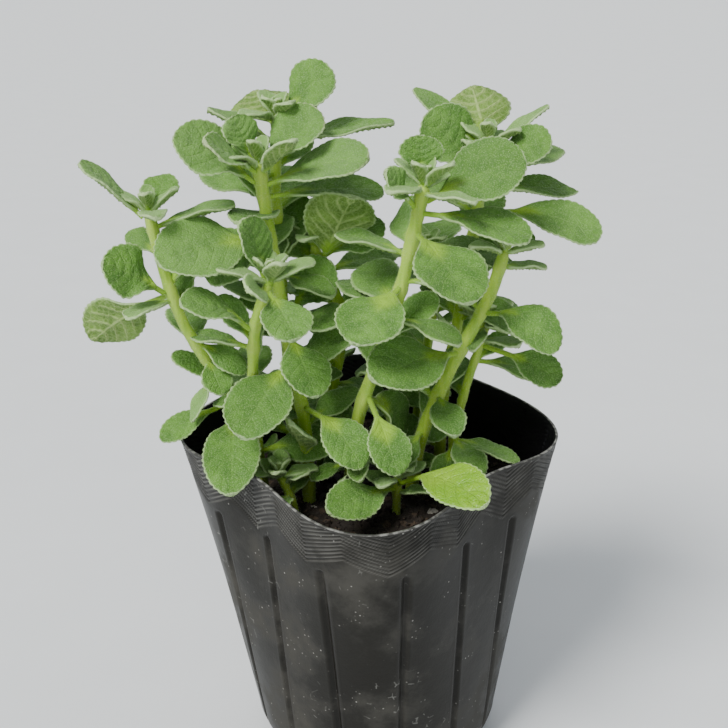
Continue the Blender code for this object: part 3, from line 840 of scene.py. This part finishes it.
def growHair(stem, grid, density, length, firstRing, share):
    # hair spread by area over the cells of a grid
    around = np.roll(grid, -1, axis=1) - np.roll(grid, 1, axis=1)
    normals = unit(np.cross(around, np.gradient(grid, axis=0)))
    right = np.roll(grid, -1, axis=1)
    area = 0.5 * np.linalg.norm(np.cross(right[:-1] - grid[:-1], grid[1:] - grid[:-1]), axis=2)
    area += 0.5 * np.linalg.norm(np.cross(right[1:] - right[:-1], right[1:] - grid[1:]), axis=2)
    area[:firstRing] = 0
    weight = area * share
    total = weight.sum()
    count = int(total / mm ** 2 * density)
    if count < 1:
        return
    cell = chance.choice(weight.size, count, p=(weight / total).ravel())
    i, k = np.divmod(cell, grid.shape[1])
    k2 = (k + 1) % grid.shape[1]
    a, b = chance.random(count)[:, None], chance.random(count)[:, None]
    base, way = [
        (1 - a) * ((1 - b) * rows[i, k] + b * rows[i, k2])
        + a * ((1 - b) * rows[i + 1, k] + b * rows[i + 1, k2])
        for rows in (grid, normals)
    ]
    way = unit(unit(way) + chance.normal(0, hairShape["tilt"], (count, 3)))
    size = length * chance.uniform(0.55, 1.25, (count, 1))
    hairStore[stem].append((base - way * hairShape["sunk"], way * size))


def leafHair(stem, grid, blank, look):
    foot = blank["petioleRings"]
    turn = 2 * math.pi * (np.arange(blank["around"]) + 0.5) / blank["around"]
    petiole = np.zeros((len(grid) - 1, 1))
    petiole[:foot + 4] = 1
    for kind, firstRing, share in (
        ("top", 2, np.sin(turn) > 0), ("under", 2, np.sin(turn) < 0),
        ("margin", foot, np.abs(np.cos(turn)) > hairShape["marginFrom"]), ("petiole", 1, petiole),
    ):
        density, length = hairShape[kind]
        growHair(stem, grid, density * look["fuzz"], length * look["size"], firstRing, share * 1.0)


def makeHair(stem):
    base, way = [np.vstack(rows) for rows in zip(*hairStore[stem])]
    count = len(base)
    ahead = unit(way)
    helper = np.where(np.abs(ahead[:, 2:3]) < 0.8, np.array([[0, 0, 1.0]]), np.array([[1.0, 0, 0]]))
    first = unit(np.cross(ahead, helper))
    second = np.cross(ahead, first)
    thin = hairShape["thin"] * chance.uniform(0.8, 1.3, (count, 1))
    points = np.empty((count, 4, 3))
    for k in range(3):
        turn = 2 * math.pi * k / 3
        points[:, k] = base + (first * math.cos(turn) + second * math.sin(turn)) * thin
    points[:, 3] = base + way
    faces = np.array([(0, 2, 1), (0, 1, 3), (1, 2, 3), (2, 0, 3)])
    corners = (faces[None] + 4 * np.arange(count)[:, None, None]).reshape(-1)
    mesh = bpy.data.meshes.new("hair_" + stem)
    mesh.vertices.add(4 * count)
    mesh.vertices.foreach_set("co", points.ravel())
    mesh.loops.add(len(corners))
    mesh.loops.foreach_set("vertex_index", corners.astype(np.int32))
    mesh.polygons.add(4 * count)
    mesh.polygons.foreach_set("loop_start", np.arange(0, len(corners), 3, dtype=np.int32))
    mesh.update(calc_edges=True)
    showPiece(linked("hair_" + stem, mesh), hairFinish)
    return 4 * count


# shaded is the span over the soil where the stems' painted shade fades out, and shade is its strength
stemShape = {
    "around": 20, "ringGap": 1.6 * mm, "knotSwell": 0.32 * mm, "knotReach": 1.5 * mm, "squareness": 0.05,
    "grown": 1.02, "wobble": 0.12 * mm, "wobbles": 420, "shaded": (-6 * mm, 34 * mm), "shade": 0.75,
    # rise and width of the rounded top's rings, in radii
    "tip": np.array([(0.5, 0.92), (0.95, 0.72), (1.25, 0.42), (1.4, 0.12)]),
}


def makeStem(name):
    p, line = stemShape, stems[name]
    extra = len(p["tip"])
    reach = np.linalg.norm(np.diff(line["centres"], axis=0), axis=1).sum()
    rings = int(reach / p["ringGap"]) + 1
    blank = makeBlank("stemBlank", p["around"], rings + extra)
    heights = np.linspace(line["heights"][0], line["heights"][-1], rings)
    centres = throughPoints(line["heights"], line["centres"], heights)
    ahead = unit(np.gradient(centres, axis=0))
    knots = np.zeros(rings)
    for joint in jointHeights[name]:
        knots = np.maximum(knots, np.exp(-(((heights - joint) / p["knotReach"]) ** 2)))
    radius = np.interp(heights, line["heights"], line["radius"]) * p["grown"] + p["knotSwell"] * knots
    # a rounded top for the bud to sit on
    centres = np.vstack([centres, centres[-1] + ahead[-1] * p["tip"][:, :1] * radius[-1]])
    ahead = np.vstack([ahead, np.repeat(ahead[-1:], extra, axis=0)])
    radius = np.concatenate([radius, radius[-1] * p["tip"][:, 1]])
    knots = np.concatenate([knots, np.ones(extra)])
    first = unit(np.cross(np.array([[0.0, 1.0, 0.0]]), ahead))
    second = np.cross(ahead, first)
    angle = 2 * math.pi * np.arange(p["around"]) / p["around"]
    ripple = 1 + p["squareness"] * np.cos(4 * angle)[None, :]
    wobble = p["wobble"] * np.sin(centres[:, 2] * p["wobbles"] + 1)[:, None] * np.cos(2 * angle + 1)[None, :]
    spread = radius[:, None] * ripple + wobble
    grid = centres[:, None] + spread[..., None] * (
        first[:, None] * np.cos(angle)[None, :, None] + second[:, None] * np.sin(angle)[None, :, None]
    )
    # painted shade, strongest at the soil and fading out above it
    low = 1 - eased(soilHigh.z + p["shaded"][0], soilHigh.z + p["shaded"][1], grid[..., 2])
    state = np.stack([low * p["shade"], np.repeat(knots[:, None], p["around"], axis=1), 0 * low], axis=-1)
    stem = castFrom(blank, "oreganoStem_" + name, grid, {"stemState": state})
    stem.data.uv_layers.remove(stem.data.uv_layers["leafMap"])
    showPiece(stem, stemFinish, ["stem_" + name])
    visible = (grid[:-1, :1, 2] > soilHigh.z - 5 * mm) * 1.0
    growHair(name, grid, *hairShape["stem"], 0, visible)


# shade is each leaf's painted shade
plainLook = {
    "material": matureLeaf, "shade": 0.12, "pale": 0.0, "blush": 0.0, "wedge": 0.6, "footEnd": 0.14,
    "size": 1.0, "thick": 1.0, "cup": 1.0, "scallop": 1.0, "fuzz": 1.0,
}


def fullLook(extra, index):
    return {**plainLook, "seed": (index * 2.399) % 6.283, **extra}


def makeLeaf(name, stem, spine, size, look):
    # the leaf, its hair, and its grid for those that need its place
    blank = leafBlanks[size]
    grid, state, tone, across, along = leafGrid(spine, blank, look)
    leaf = castFrom(blank, name, grid, {"leafState": state, "leafTone": tone}, across, along)
    finishWith(leaf, look["material"])
    leafHair(stem, grid, blank, look)
    return leaf, grid


# small leaves that only the looks need: stem, height above soil, heading, rise, petiole, blade,
# width, roll, droop, paleness
sprigs = [
    ("d", 69, 253, 20, 3, 9, 9, -50, 15, 0.5), ("h", 42, 12, -19, 8, 18, 9, 30, 20, 0.0),
    ("k", 66, 33, 4, 6, 19, 10, 26, 15, 0.1), ("k", 51, 35, 48, 4, 9, 11, 0, 10, 0.1),
    ("e", 95, 311, 3, 3, 16, 7, 0, 10, 0.6), ("c", 84, 11, 14, 5, 18, 12, 0, 15, 0.2),
    ("c", 64, 228, -4, 4, 12, 8, 0, 10, 0.3), ("a", 98, 310, 35, 3, 16, 8, 0, 10, 0.7),
    ("f", 103, 143, 32, 10, 19, 9, -15, 10, 0.2), ("f", 103, 22, 32, 6, 16, 6, 0, 10, 0.3),
    ("g", 73, 9, -3, 3, 10, 8, 0, 15, 0.3), ("c", 46, 303, -41, 3, 9, 9, 0, 20, 0.1),
    ("d", 52, 156, 2, 8, 12, 9, 0, 10, 0.0), ("h", 48, 315, 8, 2, 12, 9, 0, 15, 0.3),
    ("h", 16, 289, -12, 3, 16, 10, 0, 20, 0.1), ("h", 16, 334, -10, 4, 17, 9, 0, 20, 0.1),
    ("h", 52, 250, -10, 3, 11, 6, 10, 40, 0.4), ("h", 50, 205, -30, 4, 11, 5, 0, 30, 0.2),
    ("c", 40, 215, -55, 4, 11, 6, 0, 25, 0.3), ("f", 58, 130, 12, 6, 20, 13, -10, 20, 0.1),
    ("f", 60, 310, -16, 6, 17, 12, 10, 25, 0.0), ("f", 40, 60, 8, 5, 17, 11, 0, 20, 0.0),
    ("f", 78, 75, 24, 5, 20, 14, 12, 15, 0.1), ("j", 50, 40, 12, 5, 19, 14, 10, 20, 0.0),
    ("j", 50, 220, 8, 5, 16, 12, -10, 20, 0.0), ("j", 66, 260, 22, 4, 15, 12, 0, 15, 0.2),
    ("j", 30, 120, 0, 6, 18, 12, 0, 25, 0.0), ("b", 84, 70, 18, 6, 22, 15, 10, 20, 0.0),
    ("b", 84, 250, 6, 6, 18, 13, 0, 20, 0.0), ("b", 66, 140, 10, 6, 20, 14, 0, 20, 0.0),
    ("b", 66, 320, -8, 5, 15, 11, 0, 20, 0.0), ("b", 104, 175, 26, 4, 17, 12, 0, 10, 0.2),
    ("b", 34, 190, 0, 6, 16, 11, 0, 20, 0.0), ("k", 40, 110, 15, 6, 19, 13, 0, 20, 0.0),
    ("k", 56, 170, 12, 5, 16, 12, 0, 15, 0.0), ("k", 22, 60, 5, 5, 14, 10, 0, 20, 0.0),
    ("e", 60, 120, 8, 6, 20, 14, 5, 20, 0.0), ("e", 60, 330, -12, 6, 15, 11, 0, 25, 0.0),
    ("e", 78, 160, 10, 5, 16, 12, 0, 15, 0.1), ("g", 34, 70, 10, 5, 18, 12, 0, 20, 0.0),
    ("g", 34, 280, -14, 5, 14, 10, 0, 25, 0.0), ("g", 60, 130, 22, 5, 16, 12, 0, 15, 0.1),
    ("a", 60, 130, 4, 6, 20, 14, 0, 20, 0.0), ("a", 40, 200, -12, 5, 15, 11, 0, 20, 0.0),
    ("a", 76, 95, 16, 5, 18, 13, 0, 15, 0.1), ("c", 50, 110, 10, 6, 18, 12, 0, 20, 0.0),
    ("d", 40, 95, 12, 5, 15, 11, 0, 20, 0.0), ("d", 40, 275, -24, 5, 13, 9, 0, 25, 0.1),
    ("h", 30, 100, 12, 4, 13, 9, 0, 20, 0.1), ("s", 12, 160, 40, 1, 8, 6, 0, 10, 0.4),
    ("s", 12, 340, 30, 1, 8, 6, 0, 10, 0.4), ("s", 7, 250, 10, 2, 9, 7, 0, 20, 0.2),
    ("s", 7, 70, 15, 2, 9, 7, 0, 20, 0.2), ("t", 12, 60, 35, 1, 9, 7, 0, 10, 0.3),
    ("t", 8, 330, 15, 2, 9, 6, 0, 20, 0.2), ("t", 8, 150, 20, 2, 9, 7, 0, 20, 0.2),
]
# shade in these looks is painted shade, set leaf by leaf
leafLooks = {
    "t_lime": {"material": limeLeaf, "wedge": 0.25, "shade": 0.8, "fuzz": 0.3, "footEnd": 0.4},
    "c_under": {"shade": 0.9, "wedge": 0.2}, "a_under": {"shade": 0.5},
    "e_low": {"shade": 0.5, "footEnd": 0.3},
    "e_spoon": {"wedge": 0.35, "shade": 0.25, "footEnd": 0.35}, "h_low": {"wedge": 0.3, "shade": 0.4},
    "a_drop": {"wedge": 0.3, "shade": 0.3, "footEnd": 0.25}, "g_left": {"shade": 0.3, "footEnd": 0.2},
    "e_front": {"footEnd": 0.22}, "k_dark": {"shade": 0.7}, "e_dark": {"shade": 0.9},
    "f_rear": {"shade": 0.6}, "j_back": {"shade": 0.6}, "a_young": {"pale": 0.5},
    "a_tip": {"pale": 0.5, "blush": 0.4},
    "d_up": {"pale": 0.15}, "d_front": {"pale": 0.15}, "d_arch": {"pale": 0.25},
    "a_right": {"pale": 0.3, "blush": 0.3}, "a_back": {"pale": 0.15, "blush": 0.5}, "a_left": {"pale": 0.4},
    "c_left": {"pale": 0.5}, "e_left": {"pale": 0.7}, "e_up": {"pale": 0.1}, "f_left": {"pale": 0.1},
    "f_long": {"wedge": 0.35, "pale": 0.15}, "c_hang": {"wedge": 0.3, "shade": 0.3},
    "a_low": {"pale": 0.32, "footEnd": 0.2}, "t_left": {"shade": 0.15}, "e_mid": {"footEnd": 0.25},
    "c_side": {"shade": 0.2}, "b_top": {"shade": 0.1}, "a_round": {"shade": 0.6}, "e_big": {"shade": 0.95},
    "f_back": {"shade": 0.0}, "k_big": {"shade": 0.0}, "f_right": {"shade": 0.2},
}

# the stems swell where a leaf joins them
soilFlat = soilHigh.z - 2.4 * mm
leafSpines = {name: frameSpine(name) for name in leafNames}
jointHeights = {name: [] for name in stemNames}
for name in leafNames:
    jointHeights[name[0]].append(float(leafSpines[name]["centres"][0][2]))
for row in sprigs:
    jointHeights[row[0]].append(soilFlat + row[1] * mm)
for name in stemNames:
    makeStem(name)
print("stems made:", len(stemNames))

largeGrids = []
for index, name in enumerate(leafNames):
    look = fullLook(leafLooks.get(name, {}), index)
    leaf, grid = makeLeaf("oreganoLeaf_" + name, name[0], leafSpines[name], "large", look)
    largeGrids.append(grid)
    showPiece(leaf, look["material"], ["leaf_" + name])
print("large leaves made:", len(leafNames))

smallByStem = {name: [] for name in stemNames}
taken = [grid[8::4, ::3].reshape(-1, 3) for grid in largeGrids]  # points that new leaves keep clear of
for index, row in enumerate(sprigs):
    stem, height, heading, rise, petiole, blade, width, roll, droop, pale = row
    look = fullLook({"pale": pale, "shade": 0.35 if pale == 0 else 0.1}, index + 50)
    if pale > 0.25:
        look["material"] = youngLeaf
    sizes = (petiole * mm, blade * mm, width * mm)
    spine = grownSpine(stem, soilFlat + height * mm, heading, rise, *sizes, roll, droop)
    leaf, grid = makeLeaf("sprig", stem, spine, "small", look)
    taken.append(grid[8::4, ::3].reshape(-1, 3))
    smallByStem[stem].append(leaf)
print("small leaves made:", len(sprigs))

# pairs of leaves up each stem, crossed as they grow, wherever there is room for one
filler = {
    "start": {"a": 20, "b": 70, "c": 110, "d": 60, "e": 100, "f": 40, "g": 80, "h": 10, "j": 0, "k": 50},
    "first": 7 * mm, "step": 8.5 * mm, "top": 7 * mm,
    "blade": (12 * mm, 21 * mm), "backBlade": (16 * mm, 27 * mm), "width": 0.7,
    "petiole": (4, 7), "droop": (5, 45), "rise": (-30, 42), "backRise": (-38, 52), "flat": 8,
    "roll": (8, 48), "backFrom": 4 * mm, "frontStems": "acdeg", "lowFront": 24 * mm, "tries": 7,
    "window": np.array((-0.2, -0.85, 0.5)), "windowSpot": np.array((0, -0.29, 0.235)),
}
# what an added leaf keeps clear of; heights are above the pot
room = {
    "clear": 1.2 * mm, "open": 0.75, "box": mm, "soil": mm, "search": 26 * mm, "axis": -3 * mm,
    "inPot": 3 * mm, "potShare": 0.84, "overRim": 48 * mm, "reach": 58 * mm,
    "bareTop": 12 * mm, "bareSide": 24 * mm,
}
# no added leaf stands between the window and the middle of a large leaf
bigMiddles = np.array([grid[20:].reshape(-1, 3).mean(axis=0) for grid in largeGrids])
bigReaches = np.array([leafSpines[name]["half"] * room["open"] for name in leafNames])
windowWays = unit(filler["windowSpot"] - bigMiddles)


def roomFor(grid):
    every = grid.reshape(-1, 3)
    points = grid[10::4, ::3].reshape(-1, 3)
    if (every.min(axis=0) < np.array(cadBox[0]) + room["box"]).any():
        return False
    if (every.max(axis=0) > np.array(cadBox[1]) - room["box"]).any():
        return False
    above = points[:, 2] - potHigh.z
    aside = np.hypot(points[:, 0] - room["axis"], points[:, 1])
    if (aside[above < room["inPot"]] > potSizes["rimRadius"] * room["potShare"]).any():
        return False
    if points[:, 2].min() < soilHigh.z + room["soil"]:
        return False
    if (aside[above < room["overRim"]] > room["reach"]).any():
        return False
    if (points[above < room["bareTop"], 0] > room["bareSide"]).any():
        return False
    offs = points[None] - bigMiddles[:, None]
    ahead = (offs * windowWays[:, None]).sum(axis=2)
    away = np.linalg.norm(offs - ahead[..., None] * windowWays[:, None], axis=2)
    if ((ahead > 0) & (away < bigReaches[:, None])).any():
        return False
    others = np.vstack(taken)
    near = others[np.abs(others - points.mean(axis=0)).max(axis=1) < room["search"]]
    return np.linalg.norm(points[:, None] - near[None], axis=2).min() > room["clear"]


def towardsLight(spine):
    # leaves roll towards the window they grew beside
    ahead = unit(np.gradient(spine["centres"], axis=0))
    return float((np.cross(ahead, spine["sides"]) @ filler["window"]).mean())


def tryFiller(stem, height, heading, attempt, added):
    # a new leaf's spine and look, or no spine where the front is kept open
    p = filler
    rank = (height - soilFlat) / (stems[stem]["heights"][-1] - soilFlat)
    facing = math.sin(math.radians(heading))
    back = facing > 0.1 and height > potHigh.z + p["backFrom"]
    rise = chance.uniform(*p["backRise" if back else "rise"])
    blade = chance.uniform(*p["backBlade" if back else "blade"]) * (1 - 0.09 * attempt)
    # lower added leaves get more painted shade
    look = fullLook({"shade": chance.uniform(0.2, 0.75) * (1.15 - rank), "pale": 0.12 * rank}, added * 3 + 11)
    rise = rise + math.copysign(p["flat"], rise)
    roll, droop = chance.uniform(*p["roll"]), chance.uniform(*p["droop"])
    petiole, width = chance.uniform(*p["petiole"]) * mm, blade * p["width"] * chance.uniform(0.85, 1.15)
    if facing < -0.3 and stem in p["frontStems"] and height > soilFlat + p["lowFront"]:
        return None, look
    shape = (heading, rise, petiole, blade, width)
    ways = [grownSpine(stem, height, *shape, turn, droop) for turn in (roll, -roll)]
    return max(ways, key=towardsLight), look


stemPoints = {}
for name, line in stems.items():
    heights = np.linspace(line["heights"][0], line["heights"][-1], 90)
    stemPoints[name] = throughPoints(line["heights"], line["centres"], heights)
added = 0
for stem, startTurn in filler["start"].items():
    taken.extend(stemPoints[other] for other in stemNames if other != stem)
    height = soilFlat + filler["first"]
    level = 0
    while height < stems[stem]["heights"][-1] - filler["top"]:
        for half in (0, 180):
            for attempt in range(filler["tries"]):
                heading = (startTurn + 90 * level + half + chance.uniform(-35, 35)) % 360
                spine, look = tryFiller(stem, height, heading, attempt, added)
                if spine is None:
                    break
                if not roomFor(leafGrid(spine, leafBlanks["small"], look)[0]):
                    continue
                leaf, grid = makeLeaf("fillLeaf", stem, spine, "small", look)
                smallByStem[stem].append(leaf)
                taken.append(grid[8::4, ::3].reshape(-1, 3))
                added += 1
                break
        height += filler["step"] * chance.uniform(0.85, 1.2)
        level += 1
print("leaves added where there was room:", added)

# the growing tip of each shoot: five crossed pairs of ever smaller, ever steeper leaves
tipShape = {
    "turn": dict(zip("abcdefghjkst", (60, 40, 100, 20, 50, 70, 20, 110, 30, 80, 0, 45))),
    "size": dict(zip("abcdefghjkst", (1.0, 0.9, 0.9, 1.0, 1.0, 0.9, 0.8, 0.9, 0.9, 0.8, 0.75, 0.7))),
    "pairs": [  # petiole, blade, width, rise and turn
        (1.8, 12.5, 8.4, 12, 0), (1.2, 10.0, 6.8, 34, 90), (0.8, 6.8, 4.8, 54, 0), (0.4, 4.2, 3.2, 72, 90),
        (0.2, 2.4, 2.0, 84, 0),
    ],
    "above": 1.2 * mm, "apart": 0.7 * mm, "thin": 0.7, "droop": 30,
    "look": {
        "pale": 0.75, "shade": 0.0, "material": youngLeaf, "thick": 1.2, "scallop": 1.3, "fuzz": 1.6,
        "size": 0.9,
    },
}
for index, stem in enumerate(stemNames):
    top, way, thick = onStem(stem, stems[stem]["heights"][-1])
    top = top + way * tipShape["above"]
    big = tipShape["size"][stem] * mm
    for level, (petiole, blade, width, rise, turn) in enumerate(tipShape["pairs"]):
        look = fullLook({**tipShape["look"], "cup": 1.0 + 0.5 * level}, index * 7 + level)
        place = top + way * level * tipShape["apart"]
        for half in (0, 180):
            heading = tipShape["turn"][stem] + turn + half + chance.uniform(-12, 12)
            slope, droop = rise + chance.uniform(-6, 6), tipShape["droop"] + chance.uniform(-20, 20)
            sizes = (petiole * big, blade * big, width * big)
            spine = freeSpine(place, thick * tipShape["thin"], heading, slope, *sizes, 0, droop)
            smallByStem[stem].append(makeLeaf("tipLeaf", stem, spine, "bud", look)[0])
for stem, items in smallByStem.items():
    young = [item for item in items if item.data.materials[0] == youngLeaf]
    grown = [item for item in items if item.data.materials[0] != youngLeaf]
    for label, group, material in (("shootTip_", young, youngLeaf), ("sideLeaves_", grown, matureLeaf)):
        if group:
            showPiece(joined(label + stem, group), material)
print("shoot tips made:", len(stemNames))

print("hair made:", sum(makeHair(stem) for stem in stemNames), "faces")
for blankMesh in [m for m in bpy.data.meshes if m.users == 0]:
    bpy.data.meshes.remove(blankMesh)

# the frame's own body of soil, with a layer of loose crumbs over it
finishWith(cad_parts["soil"], soilFinish)
crumbShape = {
    "count": 2600, "small": 0.45 * mm, "large": 1.5 * mm, "squash": (0.6, 1.2), "rough": 0.22,
    "edge": 0.9 * mm, "crown": 2 * mm, "sunk": 0.1,
}


def makeCrumbs():
    p = crumbShape
    letGo()
    bpy.ops.mesh.primitive_ico_sphere_add(subdivisions=1, radius=1)
    crumb = bpy.context.object
    shape = coordinates(crumb.data)
    faces = np.array([tuple(f.vertices) for f in crumb.data.polygons])
    bpy.data.objects.remove(crumb, do_unlink=True)
    share = np.sqrt(chance.random(p["count"]))
    turn = chance.uniform(0, 2 * math.pi, p["count"])
    wide = (potRadius(soilFlat) - potSizes["wall"] - potSizes["grooveDepth"] - p["edge"]) * share
    x, y, z = pressedRim(wide * np.cos(turn), wide * np.sin(turn), np.full(p["count"], soilFlat))
    z = z + p["crown"] * (1 - share ** 2)
    size = p["small"] + (p["large"] - p["small"]) * chance.random(p["count"]) ** 3
    place = np.stack([x, y, z - size * p["sunk"]], 1)
    squash = chance.uniform(*p["squash"], (p["count"], 3)) * size[:, None]
    spin = np.linalg.qr(chance.normal(size=(p["count"], 3, 3)))[0]
    rough = 1 + chance.uniform(-p["rough"], p["rough"], (p["count"], len(shape), 1))
    points = np.einsum("nij,nkj->nki", spin, shape[None] * squash[:, None] * rough) + place[:, None]
    # a spin that mirrors its crumb has its faces turned over
    order = np.where((np.linalg.det(spin) < 0)[:, None, None], faces[None, :, ::-1], faces[None])
    corners = order + len(shape) * np.arange(p["count"])[:, None, None]
    mesh = bpy.data.meshes.new("soilCrumbs")
    mesh.from_pydata(points.reshape(-1, 3).tolist(), [], corners.reshape(-1, 3).tolist())
    showPiece(linked("soilCrumbs", mesh), soilFinish)


makeCrumbs()
print("soil made")

studio = {
    "floor": 60.0, "floorPlace": (0, 2.0, -0.4 * mm), "floorDark": (0.78, 0.81, 0.83),
    "floorLight": (0.83, 0.86, 0.88), "rough": 0.7, "world": (0.9, 0.95, 1.0), "power": 0.4,
    "lens": 51.92, "sensor": 36, "nearest": 0.01, "camera": (-0.0045, -0.29034, 0.23645),
    "tilt": math.radians(69),
}
letGo()
bpy.ops.mesh.primitive_plane_add(size=studio["floor"], location=studio["floorPlace"])
floor = bpy.context.object
floor.name = "paleFloor"
pick(floor)
bpy.ops.object.transform_apply(location=True)
floorFinish, tree, shader, where = newMaterial("paleFloor")
pale = blend(tree, noiseAt(tree, where, 30.0, 4.0), studio["floorDark"], studio["floorLight"])
tree.links.new(pale, shader["Base Color"])
shader["Roughness"].default_value = studio["rough"]
finishWith(floor, floorFinish)
floor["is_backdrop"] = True

world = bpy.data.worlds.new("studio")
bpy.context.scene.world = world
world.use_nodes = True
sky = world.node_tree.nodes["Background"].inputs
sky[0].default_value, sky[1].default_value = (*studio["world"], 1), studio["power"]

lamps = {
    "softSun": {"from": (-0.62, -0.62, 1.0), "power": 3.75, "spread": 24, "tint": (1.0, 0.98, 0.94)},
    "lowFill": {"from": (-0.1, -1.0, 0.35), "power": 0.6, "spread": 80, "tint": (1.0, 0.99, 0.95)},
    "backLight": {"from": (0.1, 1.0, 1.0), "power": 0.6, "spread": 50, "tint": (0.96, 0.98, 1.0)},
}
for name, lamp in lamps.items():
    light = bpy.data.lights.new(name, "SUN")
    light.angle, light.energy, light.color = math.radians(lamp["spread"]), lamp["power"], lamp["tint"]
    item = linked(name, light)
    item.location = lamp["from"]
    item.rotation_euler = Vector(lamp["from"]).to_track_quat("Z", "Y").to_euler()

lens = bpy.data.cameras.new("camera")
lens.lens, lens.sensor_width, lens.clip_start = studio["lens"], studio["sensor"], studio["nearest"]
camera = linked("camera", lens)
camera.location = studio["camera"]
camera.rotation_euler = (studio["tilt"], 0, 0)
bpy.context.scene.camera = camera
print("stage set")

boxes = {"cad": [list(c) for c in cadBox], "visual": [list(c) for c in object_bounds()]}
for label, (low, high) in boxes.items():
    print(label, "box in mm:", [round(1000 * c, 1) for c in (*low, *high)])
